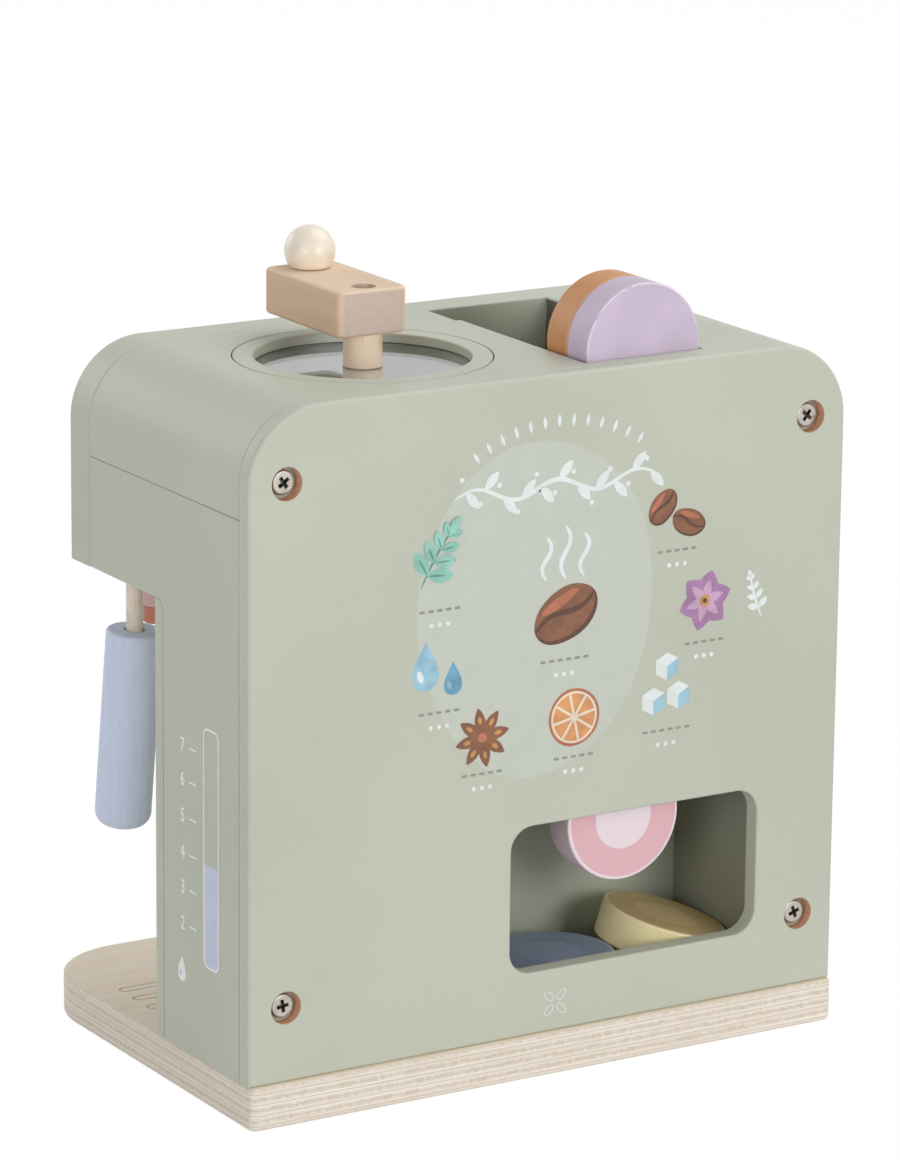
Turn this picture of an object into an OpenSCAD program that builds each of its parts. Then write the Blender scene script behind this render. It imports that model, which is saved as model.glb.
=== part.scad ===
// Wooden toy coffee maker: a head on a column, on a plywood base board.
// +Y is the rear, with the window; -Y is the side a child plays at.
// Millimetres, +Z up, origin on the table under the middle of the base.

/* [Base board] */
// Depth of the base board
base_d = 150; // [146:1:170]
// Thickness of the base board
base_t = 14; // [10:1:20]
// How far the base board shows behind the body
base_back = 2; // [0.5:0.5:5]
// Radius of the two front corners of the base board
base_corner_r = 30; // [10:1:40]
// Number of engraved drip slots
slot_count = 4; // [2:1:4]
// Length of a drip slot
slot_len = 201; // [120:1:205]
// Width of a drip slot
slot_w = 4.4; // [3:0.1:6]
// Distance from one drip slot to the next
slot_pitch = 9.7; // [8:0.1:11]
// Width of the engraved line round a slot
slot_line = 0.8; // [0.5:0.1:1.2]
// Depth of the engraved line
slot_depth = 0.6; // [0.3:0.1:1.5]
// Distance from the column to the nearest slot
slot_gap = 14.4; // [10:0.1:20]

/* [Body] */
// Width of the body, and of the base board under it
body_w = 220; // [210:1:235]
// Depth of the body, from the front panel's face to the back panel's face
body_d = 118; // [112:1:126]
// Height of the body above the base board
body_h = 216; // [208:1:240]
// Radius of the body's upper corners
corner_r = 25; // [22:1:28]
// Thickness of the back panel
back_t = 6; // [5:0.5:8]
// Thickness of the front panel
front_t = 14; // [10:1:16]
// Thickness of a side board
side_t = 6; // [4:0.5:6]
// Thickness of the top cover
cover_t = 8; // [7:0.5:9]
// Height of the top cover's ends, from the seam with a side board up to the top
cover_h = 35; // [31:1:41]
// Clear height between the base board and the head
bay_h = 144.5; // [138:0.5:150]
// Depth of the column, from its front face to the back panel's face
column_d = 60.5; // [58:0.5:66]
// Thickness of the column's front board
column_t = 5.3; // [4:0.1:7]
// Thickness of the board that closes the head from below
head_floor_t = 6; // [4:0.5:8]
// Radius of the inside corner between head and column
fillet_r = 3; // [2:0.5:6]

/* [Window and compartment] */
// Width of the window in the back panel
window_w = 94; // [90:1:100]
// Height of the window
window_h = 49; // [44:1:56]
// Radius of the window's corners
window_r = 8; // [6:0.5:16]
// Distance from the body's side to the window
window_side = 30.6; // [28:0.2:36]
// Height of the window above the base board
window_z = 21; // [18:0.5:26]
// How far the compartment reaches past the window on each side
wall_set = 4.5; // [0.5:0.5:5]
// Thickness of the compartment's boards
wall_t = 5; // [4:0.5:6]
// Thickness of the compartment's floor
pocket_floor_t = 4; // [2:0.5:6]
// Height inside the compartment, above the base board
pocket_h = 90; // [86:1:100]

/* [Pod tray] */
// Width of the tray's opening
tray_w = 44.2; // [43.4:0.1:46]
// Distance from the middle of the body to the middle of the tray
tray_x = 38.9; // [38:0.1:41]
// Thickness of the cover's strip behind the tray
tray_strip = 4.5; // [3:0.5:8]
// Depth of the tray
tray_depth = 19.3; // [15:0.1:20]
// Thickness of the tray's floor and rails
tray_t = 6; // [4:0.5:7]
// Length of the wider front stretch of the tray
tray_wide_len = 18.3; // [10:0.1:24]
// How much wider that stretch is
tray_wide = 1.8; // [0.5:0.1:3]

/* [Pods] */
// Diameter of a coffee pod
pod_d = 42.4; // [40:0.2:42.8]
// Thickness of a coffee pod
pod_t = 12; // [10:0.5:13]
// Chamfer on a pod's edges
pod_chamfer = 0.8; // [0.3:0.1:1.5]
// Depth of the blind hole in a pod's back
pod_hole_depth = 6; // [4:0.5:8]
// Diameter of the peg that a used pod hangs on
peg_d = 6.6; // [5:0.2:8]
// Height of that peg above the compartment's floor
peg_h = 57.6; // [56:0.2:60]
// Distance from the hanging pod's face to the back panel
hang_gap = 11.6; // [9:0.2:13]
// Tilt of the pod that leans against the flat one
pod_lean = 16; // [10:0.5:17]
// Turn of that pod towards the window
pod_yaw = 20; // [0:1:24]

/* [Grinder] */
// Distance from the middle of the body to the grinder's axis
grinder_x = 38.7; // [37:0.1:41]
// Distance from the back panel's face to the grinder's axis
grinder_back = 54; // [52:0.5:56]
// Outer diameter of the ring round the grinder
ring_d = 82.4; // [80:0.2:84]
// Diameter of the ring's opening
ring_open_d = 69.2; // [64:0.2:72]
// Height of the ring's lip above the clear disc
ring_lip = 3.1; // [2:0.1:4]
// Thickness of the clear disc
disc_t = 3; // [2:0.5:4]
// How far the clear disc reaches under the lip
disc_lap = 2; // [1:0.2:3]
// Wall of the well under the disc
well_t = 4; // [3:0.5:5]
// Width of the well's flange, past its wall
flange_w = 9; // [7:0.5:10]
// Thickness of the well's flange
flange_t = 4; // [3:0.5:5]
// Depth of the well below its flange
well_depth = 22; // [16:1:28]

/* [Crank] */
// Diameter of the crank's shaft
shaft_d = 12.5; // [10:0.5:14]
// Gap between the top cover and the underside of the arm
arm_lift = 7.4; // [5:0.2:12]
// Length of the crank arm
arm_len = 49.6; // [46:0.2:56]
// Width of the crank arm
arm_w = 25.7; // [18:0.1:28]
// Thickness of the crank arm
arm_t = 14.8; // [12:0.2:18]
// Distance from the arm's near end to the shaft
arm_end = 7.2; // [7:0.1:12]
// Radius of the arm's upright corners
arm_corner_r = 4; // [1:0.5:5]
// Distance from the shaft to the knob
knob_reach = 33.8; // [28:0.2:34]
// Diameter of the ball knob
knob_d = 16.6; // [14:0.2:20]
// Height of the ball's middle above the arm
knob_rise = 5.5; // [4:0.1:6.5]
// Diameter of the pin inside the knob
knob_pin_d = 6; // [4:0.5:8]
// Depth of the shaft's socket in the arm
socket_depth = 4; // [2:0.5:5]
// Diameter of the screw hole in the top of the arm
arm_hole_d = 8; // [7.5:0.1:9]
// Depth of that hole
arm_hole_depth = 6.5; // [5:0.5:7]

/* [Steam wand] */
// Distance from the body's side to the wand
wand_side = 13; // [12:0.5:16]
// Distance from the front panel's face to the wand
wand_front = 19.5; // [19:0.5:21]
// Diameter of the rope
rope_d = 5.6; // [4:0.2:6]
// Diameter of the hole for the rope in the head's floor
rope_hole_d = 6.8; // [6.6:0.1:7.6]
// Diameter of the knot above the head's floor
knot_d = 10; // [9:0.5:10.4]
// Diameter of the wooden wand
wand_d = 18.4; // [16:0.2:20]
// Length of the wooden wand
wand_len = 66.5; // [50:0.5:80]
// Distance from the rope's pivot down to the wand's mouth
wand_drop = 18; // [17:0.5:22]
// Radius of the wand's lower edge
wand_edge_r = 5; // [2:0.5:7]
// Depth of the rope's hole in the wand
wand_bore_depth = 16; // [15:0.5:20]
// Diameter of the rope's hole in the wand
wand_bore_d = 7; // [6.8:0.1:8]

/* [Spout] */
// Distance from the body's side to the spout's block
spout_side = 8.6; // [4:0.2:10]
// Distance from the column's face to the spout's block
spout_col = 18.5; // [12:0.5:19]
// Length of the spout's block, along the head
spout_len = 18; // [16:0.5:30]
// Width of the spout's block
spout_w = 9; // [9:0.1:10]
// Height of the spout's block
spout_h = 9.4; // [5:0.1:9.5]
// Distance from the block's end to the middle of the nozzle
nozzle_in = 4.5; // [4.5:0.1:8]
// Diameter of the nozzle
nozzle_d = 8.8; // [7:0.1:9]
// Height of the nozzle
nozzle_h = 5.5; // [4:0.5:6.5]
// Diameter of the nozzle's hole
nozzle_hole_d = 4; // [3:0.5:5]

/* [Selector] */
// How far the selector's axis sits above the middle of the head
dial_rise = 0.75; // [-4:0.25:6]
// Diameter of the selector knob
dial_d = 36; // [28:1:44]
// Thickness of the selector knob
dial_t = 12; // [8:0.5:16]
// Diameter of the selector's shaft
dial_shaft_d = 10; // [8:0.5:12]
// Diameter of the collar behind the front panel
dial_collar_d = 20; // [16:0.5:24]
// Thickness of that collar
dial_collar_t = 5; // [3:0.5:8]

/* [Screws] */
// Distance from the body's side to a panel screw
screw_side = 13.5; // [13.5:0.1:14.5]
// Height of the lower panel screws above the base board
screw_low = 24.5; // [24:0.5:30]
// Distance from the body's top to the upper panel screws
screw_top = 24; // [24:0.5:30]
// Diameter of a screw's counterbore
bore_d = 10.6; // [9.5:0.1:12]
// Depth of a counterbore
bore_depth = 4.2; // [3.5:0.1:4.5]
// Diameter of a screw's head
head_d = 7.9; // [6.5:0.1:8.5]
// Height of a screw's head
head_h = 2; // [1.5:0.1:2.5]
// Diameter of a screw's shank
shank_d = 3.5; // [3:0.1:4]
// Length of a screw's shank
shank_len = 20; // [16:1:24]
// Diameter of the dowels that the panel is screwed to
block_d = 12.2; // [11:0.1:13]
// Length of those dowels
block_len = 26; // [24:1:30]
// Side of the square cleats on the base board
cleat = 12; // [10:0.5:14]
// Length of a cleat
cleat_len = 44; // [36:1:46]

/* [Hidden] */

$fn = 96;
eps = 0.01;      // how far a cutter passes the face it cuts
rest_gap = 0.3;  // between a loose piece and what it rests on
run_gap = 0.08;  // radial, between a shaft and its bearing
glue_gap = 0.2;  // round a piece that is dropped into a hole

// colours
sage = [0.75, 0.77, 0.71];
plywood = [0.89, 0.83, 0.75];
beech = [0.87, 0.76, 0.64];
steel = [0.74, 0.74, 0.75];

// planes of the body
y_back = base_d / 2 - base_back;
y_back_in = y_back - back_t;
y_front = y_back - body_d;
y_front_in = y_front + front_t;
y_col = y_back - column_d;
y_col_in = y_col + column_t;
x_side = body_w / 2;
x_side_in = x_side - side_t;
z_top = base_t + body_h;
z_cover = z_top - cover_t;
z_seam = z_top - cover_h;
z_under = base_t + bay_h;
z_head_floor = z_under + head_floor_t;

// window and compartment
x_win = window_side + window_w / 2 - x_side;
z_win = base_t + window_z;
x_pocket_in = x_win + window_w / 2 + wall_set;
x_pocket_out = x_win - window_w / 2 - wall_set;
z_pocket = base_t + pocket_floor_t;
z_ceiling = base_t + pocket_h;

// tray
x_tray = -tray_x;
z_tray = z_top - tray_depth;
y_tray_end = y_back_in - tray_strip;

// pods
pod_r = pod_d / 2;
peg_r = peg_d / 2;
x_peg = x_tray;
z_peg = z_pocket + peg_h;
y_hang = y_back_in - hang_gap - pod_t;   // back of the hanging pod
peg_socket = 3;                          // depth of the peg's socket in the column's board
peg_in = pod_hole_depth - 0.5;           // how far the peg reaches into the pod
lean_x = sin(pod_lean) * cos(pod_yaw);   // how far the leaning pod's axis tilts along X and Y
lean_y = sin(pod_lean) * sin(pod_yaw);
x_lean = x_pocket_out + rest_gap + pod_r * sqrt(1 - lean_x * lean_x) + pod_t * lean_x;
y_lean = y_back_in - 2 * rest_gap - pod_r * sqrt(1 - lean_y * lean_y) - pod_t * lean_y;
y_flat = y_back_in - rest_gap - pod_r;
x_flat = x_lean + pod_r * sqrt(1 - lean_x * lean_x) + rest_gap + pod_r;  // rim against rim

// grinder
x_axis = grinder_x;
y_axis = y_back - grinder_back;
ring_r = ring_d / 2;
open_r = ring_open_d / 2;
disc_r = open_r + disc_lap;
z_disc_top = z_top - ring_lip - glue_gap;
z_disc = z_disc_top - disc_t;
well_r = open_r + disc_lap;              // outer radius of the well's wall
z_flange = z_cover - flange_t;
z_well = z_flange - well_depth;          // underside of the well
shaft_r = shaft_d / 2;
z_arm = z_top + arm_lift;
z_arm_top = z_arm + arm_t;
z_shaft_end = z_well - 0.4;              // the shaft stands just proud of the well's floor
washer_t = 1.5;
washer_r = shaft_r + 4;                  // the washer holds the shaft up against the well's floor
knob_pin_len = 2 * knob_rise + 4;        // half of it is in the arm, and half in the ball

// steam wand
x_wand = x_side - wand_side;
y_wand = y_front + wand_front;
rope_r = rope_d / 2;
z_pivot = z_under - rope_r - glue_gap;   // the rope bends here, just under its hole
z_mouth = z_pivot - wand_drop;
lean_front = 3.7;                        // the wand hangs a little out of plumb
lean_side = 2.3;
knot_lift = rest_gap;
rope_tail = 2;                           // how far the rope's end stands out of the knot

// the rope's route from its pivot down into the wand, relative to the pivot
rope_route = [[0, 0, 0], [0, 0, -8], [0, 0, -16], [0, -0.1, -20], [0.3, -0.5, -26], [0.6, -0.9, -33]];
rope_sides = 12;

// spout, selector and screws
x_spout = x_side - spout_side;           // the block's outer end
y_spout = y_col - spout_col;             // the block's rear face
x_nozzle = x_spout - nozzle_in;
y_nozzle = y_spout - spout_w / 2;
nozzle_end = 2;                          // wood left above the nozzle's blind hole
z_dial = (z_head_floor + z_cover) / 2 + dial_rise;
dial_r = dial_d / 2;
dial_shaft_r = dial_shaft_d / 2;
dial_socket = 7;                         // depth of the shaft's socket in the knob
screw_places = [for (sx = [-1, 1], z = [base_t + screw_low, z_top - screw_top])
                [sx * (x_side - screw_side), z]];
cross_w = 1.1;                           // arm width of the screws' cross recess
cross_len = 4.6;
cross_depth = 1.2;
x_cleat = x_side_in - cleat / 2;
y_mid = (y_col_in + y_back_in) / 2;      // middle of the column's inside
base_screw_d = 6.6;                     // head of a countersunk base screw
base_screw_inset = 8;                    // from a cleat's end to its screw
base_screw_len = 22;

// --- helpers ---------------------------------------------------------------

// a flat shape drawn in X and Z, given thickness from y0 to y1
module upright(y0, y1) {
    translate([0, y1, 0]) rotate([90, 0, 0]) linear_extrude(y1 - y0) children();
}

// a pin along +Y
module pin_y(x, y0, y1, z, r) {
    translate([x, y0, z]) rotate([-90, 0, 0]) cylinder(h = y1 - y0, r = r);
}

// outline with two round upper corners
module arch(w, z0, z1, r) {
    translate([-w / 2, z0]) square([w, z1 - z0 - r]);
    intersection() {
        translate([-w / 2, z0]) square([w, z1 - z0]);
        union() {
            translate([r - w / 2, z0]) square([w - 2 * r, z1 - z0]);
            for (s = [-1, 1]) translate([s * (w / 2 - r), z1 - r]) circle(r);
        }
    }
}

// rectangle with four round corners, centred
module round_rect(w, h, r) {
    square([w - 2 * r, h], center = true);
    square([w, h - 2 * r], center = true);
    for (sx = [-1, 1], sy = [-1, 1]) translate([sx * (w / 2 - r), sy * (h / 2 - r)]) circle(r);
}

// long shape with two round ends, centred, along X
module slot(len, w) {
    square([len - w, w], center = true);
    for (s = [-1, 1]) translate([s * (len - w) / 2, 0]) circle(w / 2, $fn = 32);
}

// a board between two opposite corners
module board(p, q) {
    translate(p) cube(q - p);
}

// cross recess cut into a screw's head, whose top is at z = 0
module cross_recess() {
    for (a = [0, 90]) rotate(a)
        translate([-cross_len / 2, -cross_w / 2, -cross_depth]) cube([cross_len, cross_w, cross_depth + eps]);
}

// pan-head screw along -Z, the underside of its head at z = 0
module pan_screw(len) {
    difference() {
        union() {
            translate([0, 0, head_h / 2]) cylinder(h = head_h / 2, d1 = head_d, d2 = head_d - head_h);
            cylinder(h = head_h / 2, d = head_d);
            translate([0, 0, -len]) cylinder(h = len, d = shank_d);
        }
        translate([0, 0, head_h]) cross_recess();
    }
}

// --- base ------------------------------------------------------------------

module base_outline() {
    translate([-x_side, base_corner_r - base_d / 2]) square([body_w, base_d - base_corner_r]);
    translate([base_corner_r - x_side, -base_d / 2])
        square([body_w - 2 * base_corner_r, base_corner_r + eps]);
    for (s = [-1, 1])
        translate([s * (x_side - base_corner_r), base_corner_r - base_d / 2]) circle(base_corner_r);
}

module base_screw_spots() {
    for (sx = [-1, 1], sy = [-1, 1])
        translate([sx * x_cleat, y_mid + sy * (cleat_len / 2 - base_screw_inset), 0]) children();
}

module base_board() {
    color(plywood) difference() {
        linear_extrude(base_t) base_outline();
        for (i = [0 : slot_count - 1])
            translate([0, y_col - slot_gap - i * slot_pitch, base_t - slot_depth])
                linear_extrude(slot_depth + eps) difference() {
                    slot(slot_len, slot_w);
                    slot(slot_len - 2 * slot_line, slot_w - 2 * slot_line);
                }
        base_screw_spots() base_screw_shape(eps);
    }
}

// a countersunk screw, driven up through the base board
module base_screw_shape(extra) {
    translate([0, 0, -extra]) cylinder(h = extra + eps, d = base_screw_d);
    cylinder(h = base_screw_d / 2 - shank_d / 2, r1 = base_screw_d / 2, r2 = shank_d / 2);
    cylinder(h = base_screw_len, d = shank_d);
}

module base_screws() {
    color(steel) base_screw_spots() base_screw_shape(0);
}

module base_cleats() {
    color(beech) difference() {
        for (s = [-1, 1])
            translate([s * x_cleat - cleat / 2, y_mid - cleat_len / 2, base_t])
                cube([cleat, cleat_len, cleat]);
        base_screw_spots() cylinder(h = base_screw_len, d = shank_d);
    }
}

// --- body ------------------------------------------------------------------

module back_panel() {
    color(sage) difference() {
        upright(y_back_in, y_back) difference() {
            arch(body_w, base_t, z_top, corner_r);
            translate([x_win, z_win + window_h / 2]) round_rect(window_w, window_h, window_r);
        }
        for (p = screw_places) {
            pin_y(p[0], y_back - bore_depth, y_back + eps, p[1], bore_d / 2);
            pin_y(p[0], y_back_in - eps, y_back, p[1], shank_d / 2);
        }
    }
}

module panel_screws() {
    color(steel) for (p = screw_places)
        translate([p[0], y_back - bore_depth, p[1]]) rotate([-90, 0, 0]) rotate(20) pan_screw(shank_len);
}

module panel_dowels() {
    color(beech) difference() {
        for (p = screw_places) pin_y(p[0], y_back_in - block_len, y_back_in, p[1], block_d / 2);
        for (p = screw_places)
            pin_y(p[0], y_back - bore_depth - shank_len, y_back, p[1], shank_d / 2);
    }
}

module front_panel() {
    color(sage) difference() {
        upright(y_front, y_front_in) arch(body_w, z_under, z_top, corner_r);
        pin_y(0, y_front - eps, y_front_in + eps, z_dial, dial_shaft_r + run_gap);
    }
}

// what the round inside corner adds below the head, drawn in Y and Z
module inner_corner() {
    translate([y_col_in - fillet_r, z_under - fillet_r]) difference() {
        square(fillet_r);
        circle(fillet_r);
    }
}

module side_outline() {
    translate([y_col_in, base_t]) square([y_back_in - y_col_in, z_seam - base_t]);
    translate([y_front_in, z_under]) square([y_back_in - y_front_in, z_seam - z_under]);
    inner_corner();
}

// a flat shape drawn in Y and Z, as thick as a side board, on the right (1) or the left (-1)
module on_side(side) {
    translate([side > 0 ? x_side_in : -x_side, 0, 0])
        rotate([90, 0, 90]) linear_extrude(side_t) children();
}

module side_board_right() {
    color(sage) on_side(1) side_outline();
}

module side_board_left() {
    color(sage) on_side(-1) side_outline();
}

module column_front_board() {
    color(sage) difference() {
        board([-x_side, y_col, base_t], [x_side, y_col_in, z_under]);
        for (s = [-1, 1]) on_side(s) inner_corner();
        pin_y(x_peg, y_col_in - peg_socket, y_col_in + eps, z_peg, peg_r);
    }
}

module top_cover() {
    color(sage) difference() {
        upright(y_front_in, y_back_in) difference() {
            arch(body_w, z_seam, z_top, corner_r);
            arch(2 * x_side_in, z_seam - eps, z_cover, corner_r - side_t);
        }
        translate([x_axis, y_axis, z_cover - eps]) cylinder(h = cover_t + 2 * eps, r = ring_r + glue_gap);
        translate([0, 0, z_cover - eps]) linear_extrude(cover_t + 2 * eps) tray_opening();
    }
}

module head_floor() {
    color(sage) difference() {
        board([-x_side_in, y_front_in, z_under], [x_side_in, y_col_in, z_head_floor]);
        translate([x_wand, y_wand, z_under - eps]) cylinder(h = head_floor_t + 2 * eps, d = rope_hole_d);
    }
}

// --- compartment behind the window -----------------------------------------

module compartment_floor() {
    color(sage) board([x_pocket_out, y_col_in, base_t], [x_pocket_in, y_back_in, z_pocket]);
}

module compartment_wall_inner() {
    color(sage) board([x_pocket_in, y_col_in, base_t], [x_pocket_in + wall_t, y_back_in, z_ceiling]);
}

module compartment_wall_outer() {
    color(sage) board([x_pocket_out - wall_t, y_col_in, base_t], [x_pocket_out, y_back_in, z_ceiling]);
}

module compartment_ceiling() {
    color(sage) board([x_pocket_out - wall_t, y_col_in, z_ceiling],
                      [x_pocket_in + wall_t, y_back_in, z_ceiling + wall_t]);
}

module pod_peg() {
    color(beech) pin_y(x_peg, y_col_in - peg_socket, y_hang + peg_in, z_peg, peg_r);
}

// --- pod tray --------------------------------------------------------------

module tray_opening() {
    translate([x_tray - tray_w / 2, y_front_in - eps]) square([tray_w, y_tray_end - y_front_in + eps]);
    translate([x_tray - tray_w / 2, y_front_in - eps]) square([tray_w + tray_wide, tray_wide_len + eps]);
}

module tray_floor() {
    color(sage) board([x_tray - tray_w / 2 - tray_t, y_front_in, z_tray - tray_t],
                      [x_tray + tray_w / 2 + tray_t, y_back_in, z_tray]);
}

module tray_rail_inner() {
    color(sage) difference() {
        board([x_tray + tray_w / 2, y_front_in, z_tray], [x_tray + tray_w / 2 + tray_t, y_back_in, z_cover]);
        translate([0, 0, z_tray - eps]) linear_extrude(z_cover - z_tray + 2 * eps) tray_opening();
    }
}

module tray_rail_outer() {
    color(sage) board([x_tray - tray_w / 2 - tray_t, y_front_in, z_tray],
                      [x_tray - tray_w / 2, y_back_in, z_cover]);
}

module tray_end() {
    color(sage) board([x_tray - tray_w / 2, y_tray_end, z_tray], [x_tray + tray_w / 2, y_back_in, z_cover]);
}

// --- coffee pods -----------------------------------------------------------

// a pod on its back, its printed face up, with the hole for the peg below
module pod(shade) {
    r_face = pod_r - pod_chamfer;
    z_edge = pod_t - pod_chamfer;
    color(shade) difference() {
        rotate_extrude()
            polygon([[0, 0], [r_face, 0], [pod_r, pod_chamfer],
                     [pod_r, z_edge], [r_face, pod_t], [0, pod_t]]);
        translate([0, 0, -eps]) cylinder(h = pod_hole_depth + eps, r = peg_r + rest_gap);
    }
}

// a pod on edge, its face to the rear, its back at y
module pod_on_edge(x, y, z, shade) {
    translate([x, y, z]) rotate([-90, 0, 0]) pod(shade);
}

module pod_lilac() {
    pod_on_edge(x_tray, y_tray_end - rest_gap - pod_t, z_tray + pod_r + rest_gap, [0.78, 0.72, 0.80]);
}

module pod_tan() {
    pod_on_edge(x_tray, y_tray_end - 2 * (rest_gap + pod_t), z_tray + pod_r + rest_gap, [0.80, 0.63, 0.50]);
}

module pod_pink() {
    pod_on_edge(x_peg, y_hang, z_peg, [0.88, 0.71, 0.74]);
}

module pod_navy() {
    translate([x_flat, y_flat, z_pocket + rest_gap]) pod([0.36, 0.41, 0.48]);
}

module pod_yellow() {
    translate([x_lean, y_lean, z_pocket + rest_gap + pod_r * sin(pod_lean)])
        rotate([0, -pod_lean, -pod_yaw]) pod([0.88, 0.81, 0.60]);
}

// --- grinder ---------------------------------------------------------------

module at_grinder(z) {
    translate([x_axis, y_axis, z]) children();
}

module grinder_ring() {
    color(sage) at_grinder(z_cover) difference() {
        cylinder(h = cover_t, r = ring_r);
        translate([0, 0, -eps]) cylinder(h = cover_t + 2 * eps, r = open_r);
        translate([0, 0, -eps]) cylinder(h = z_disc_top + glue_gap - z_cover + eps, r = disc_r + glue_gap);
    }
}

module grinder_window() {
    color([0.85, 0.90, 0.93, 0.4]) at_grinder(z_disc) difference() {
        cylinder(h = disc_t, r = disc_r);
        translate([0, 0, -eps]) cylinder(h = disc_t + 2 * eps, r = shaft_r + 2 * glue_gap);
    }
}

module grinder_well() {
    color(sage) at_grinder(0) difference() {
        union() {
            translate([0, 0, z_well]) cylinder(h = z_disc - z_well, r = well_r);
            translate([0, 0, z_flange]) cylinder(h = flange_t, r = well_r + flange_w);
        }
        translate([0, 0, z_well + well_t]) cylinder(h = z_disc - z_well, r = well_r - well_t);
        translate([0, 0, z_well - eps]) cylinder(h = well_t + 2 * eps, r = shaft_r + run_gap);
    }
}

// --- crank -----------------------------------------------------------------

module crank_shaft() {
    color(beech) at_grinder(0) difference() {
        translate([0, 0, z_shaft_end]) cylinder(h = z_arm + socket_depth - z_shaft_end, r = shaft_r);
        translate([0, 0, z_shaft_end - eps]) cylinder(h = shank_len - washer_t + eps, d = shank_d);
        translate([0, 0, z_arm_top - arm_hole_depth - shank_len])
            cylinder(h = shank_len + arm_t, d = shank_d);
    }
}

module crank_arm() {
    color(beech) difference() {
        translate([x_axis, y_axis + arm_end - arm_len / 2, z_arm]) linear_extrude(arm_t)
            round_rect(arm_w, arm_len, arm_corner_r);
        at_grinder(z_arm - eps) cylinder(h = socket_depth + eps, r = shaft_r);
        at_grinder(z_arm) cylinder(h = arm_t, d = shank_d);
        at_grinder(z_arm_top - arm_hole_depth) cylinder(h = arm_hole_depth + eps, d = arm_hole_d);
        translate([x_axis, y_axis - knob_reach, z_arm_top - knob_pin_len / 2])
            cylinder(h = arm_t, d = knob_pin_d);
    }
}

module crank_screw() {
    color(steel) at_grinder(z_arm_top - arm_hole_depth) intersection() {
        pan_screw(shank_len);
        translate([0, 0, -shank_len]) cylinder(h = shank_len + head_h, d = arm_hole_d - 2 * glue_gap);
    }
}

module crank_knob() {
    color([0.93, 0.86, 0.78]) translate([x_axis, y_axis - knob_reach, z_arm_top]) difference() {
        translate([0, 0, knob_rise]) sphere(d = knob_d);
        translate([0, 0, -knob_d]) cylinder(h = knob_d, r = knob_d);
        translate([0, 0, -eps]) cylinder(h = knob_pin_len / 2 + eps, d = knob_pin_d);
    }
}

module knob_pin() {
    color(beech) translate([x_axis, y_axis - knob_reach, z_arm_top - knob_pin_len / 2])
        cylinder(h = knob_pin_len, d = knob_pin_d);
}

module shaft_washer() {
    color(steel) at_grinder(z_shaft_end - washer_t) difference() {
        cylinder(h = washer_t, r = washer_r);
        translate([0, 0, -eps]) cylinder(h = washer_t + 2 * eps, d = shank_d);
    }
}

module shaft_screw() {
    color(steel) at_grinder(z_shaft_end - washer_t) rotate([180, 0, 0]) pan_screw(shank_len);
}

// --- steam wand ------------------------------------------------------------

// rings of a tube along a steep route: each is [centre, radius]
function tube_ring(c, r) =
    [for (i = [0 : rope_sides - 1]) c + r * [cos(i * 360 / rope_sides), sin(i * 360 / rope_sides), 0]];

// faces between one ring and the next, going down
function tube_sides(n) =
    [for (j = [0 : n - 2], i = [0 : rope_sides - 1])
        let (k = (i + 1) % rope_sides)
        [j * rope_sides + i, j * rope_sides + k, (j + 1) * rope_sides + k, (j + 1) * rope_sides + i]];

module tube_along(rings) {
    n = len(rings);
    polyhedron(
        points = [for (g = rings) each tube_ring(g[0], g[1])],
        faces = concat([[for (i = [rope_sides - 1 : -1 : 0]) i]], tube_sides(n),
                       [[for (i = [0 : rope_sides - 1]) (n - 1) * rope_sides + i]]));
}

// the route's own rings, with a round end on top so that the rope can bend at its pivot
function round_top() = [for (a = [75 : -25 : 25]) [[0, 0, rope_r * sin(a)], rope_r * cos(a)]];

module wand_rope() {
    color([0.82, 0.76, 0.68]) translate([x_wand, y_wand, z_pivot])
        tube_along(concat(round_top(), [for (p = rope_route) [p, rope_r]]));
}

// the stretch of rope in the hole of the head's floor, and through the knot
module rope_top() {
    z0 = rope_r + rest_gap;
    z1 = z_head_floor + knot_lift + knot_d + rope_tail - z_pivot;
    color([0.82, 0.76, 0.68]) translate([x_wand, y_wand, z_pivot])
        tube_along([for (z = [z1, (z0 + z1) / 2, z0]) [[0, 0, z], rope_r]]);
}

module rope_knot() {
    color([0.82, 0.76, 0.68])
        translate([x_wand, y_wand, z_head_floor + knot_lift + knot_d / 2]) difference() {
            sphere(d = knot_d);
            cylinder(h = knot_d + 2 * eps, r = rope_r, center = true);
        }
}

module wand_handle() {
    r = wand_d / 2;
    e = wand_edge_r;
    color([0.67, 0.72, 0.81])
        translate([x_wand, y_wand, z_mouth]) rotate([-lean_front, -lean_side, 0]) difference() {
            rotate_extrude() union() {
                translate([0, -wand_len]) square([r - e, wand_len]);
                translate([0, e - wand_len]) square([r, wand_len - e]);
                intersection() {
                    translate([r - e, e - wand_len]) circle(e);
                    translate([0, -wand_len]) square([r, e]);
                }
            }
            translate([0, 0, -wand_bore_depth]) cylinder(h = wand_bore_depth + eps, d = wand_bore_d);
        }
}

// --- spout -----------------------------------------------------------------

module spout_block() {
    color([0.80, 0.64, 0.65]) translate([x_spout - spout_len / 2, y_spout - spout_w / 2, z_under - spout_h])
        linear_extrude(spout_h) slot(spout_len, spout_w);
}

module spout_nozzle() {
    color([0.72, 0.42, 0.34]) translate([x_nozzle, y_nozzle, z_under - spout_h - nozzle_h]) difference() {
        cylinder(h = nozzle_h, d = nozzle_d);
        translate([0, 0, -eps]) cylinder(h = nozzle_h - nozzle_end, d = nozzle_hole_d);
    }
}

// --- selector --------------------------------------------------------------

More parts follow.
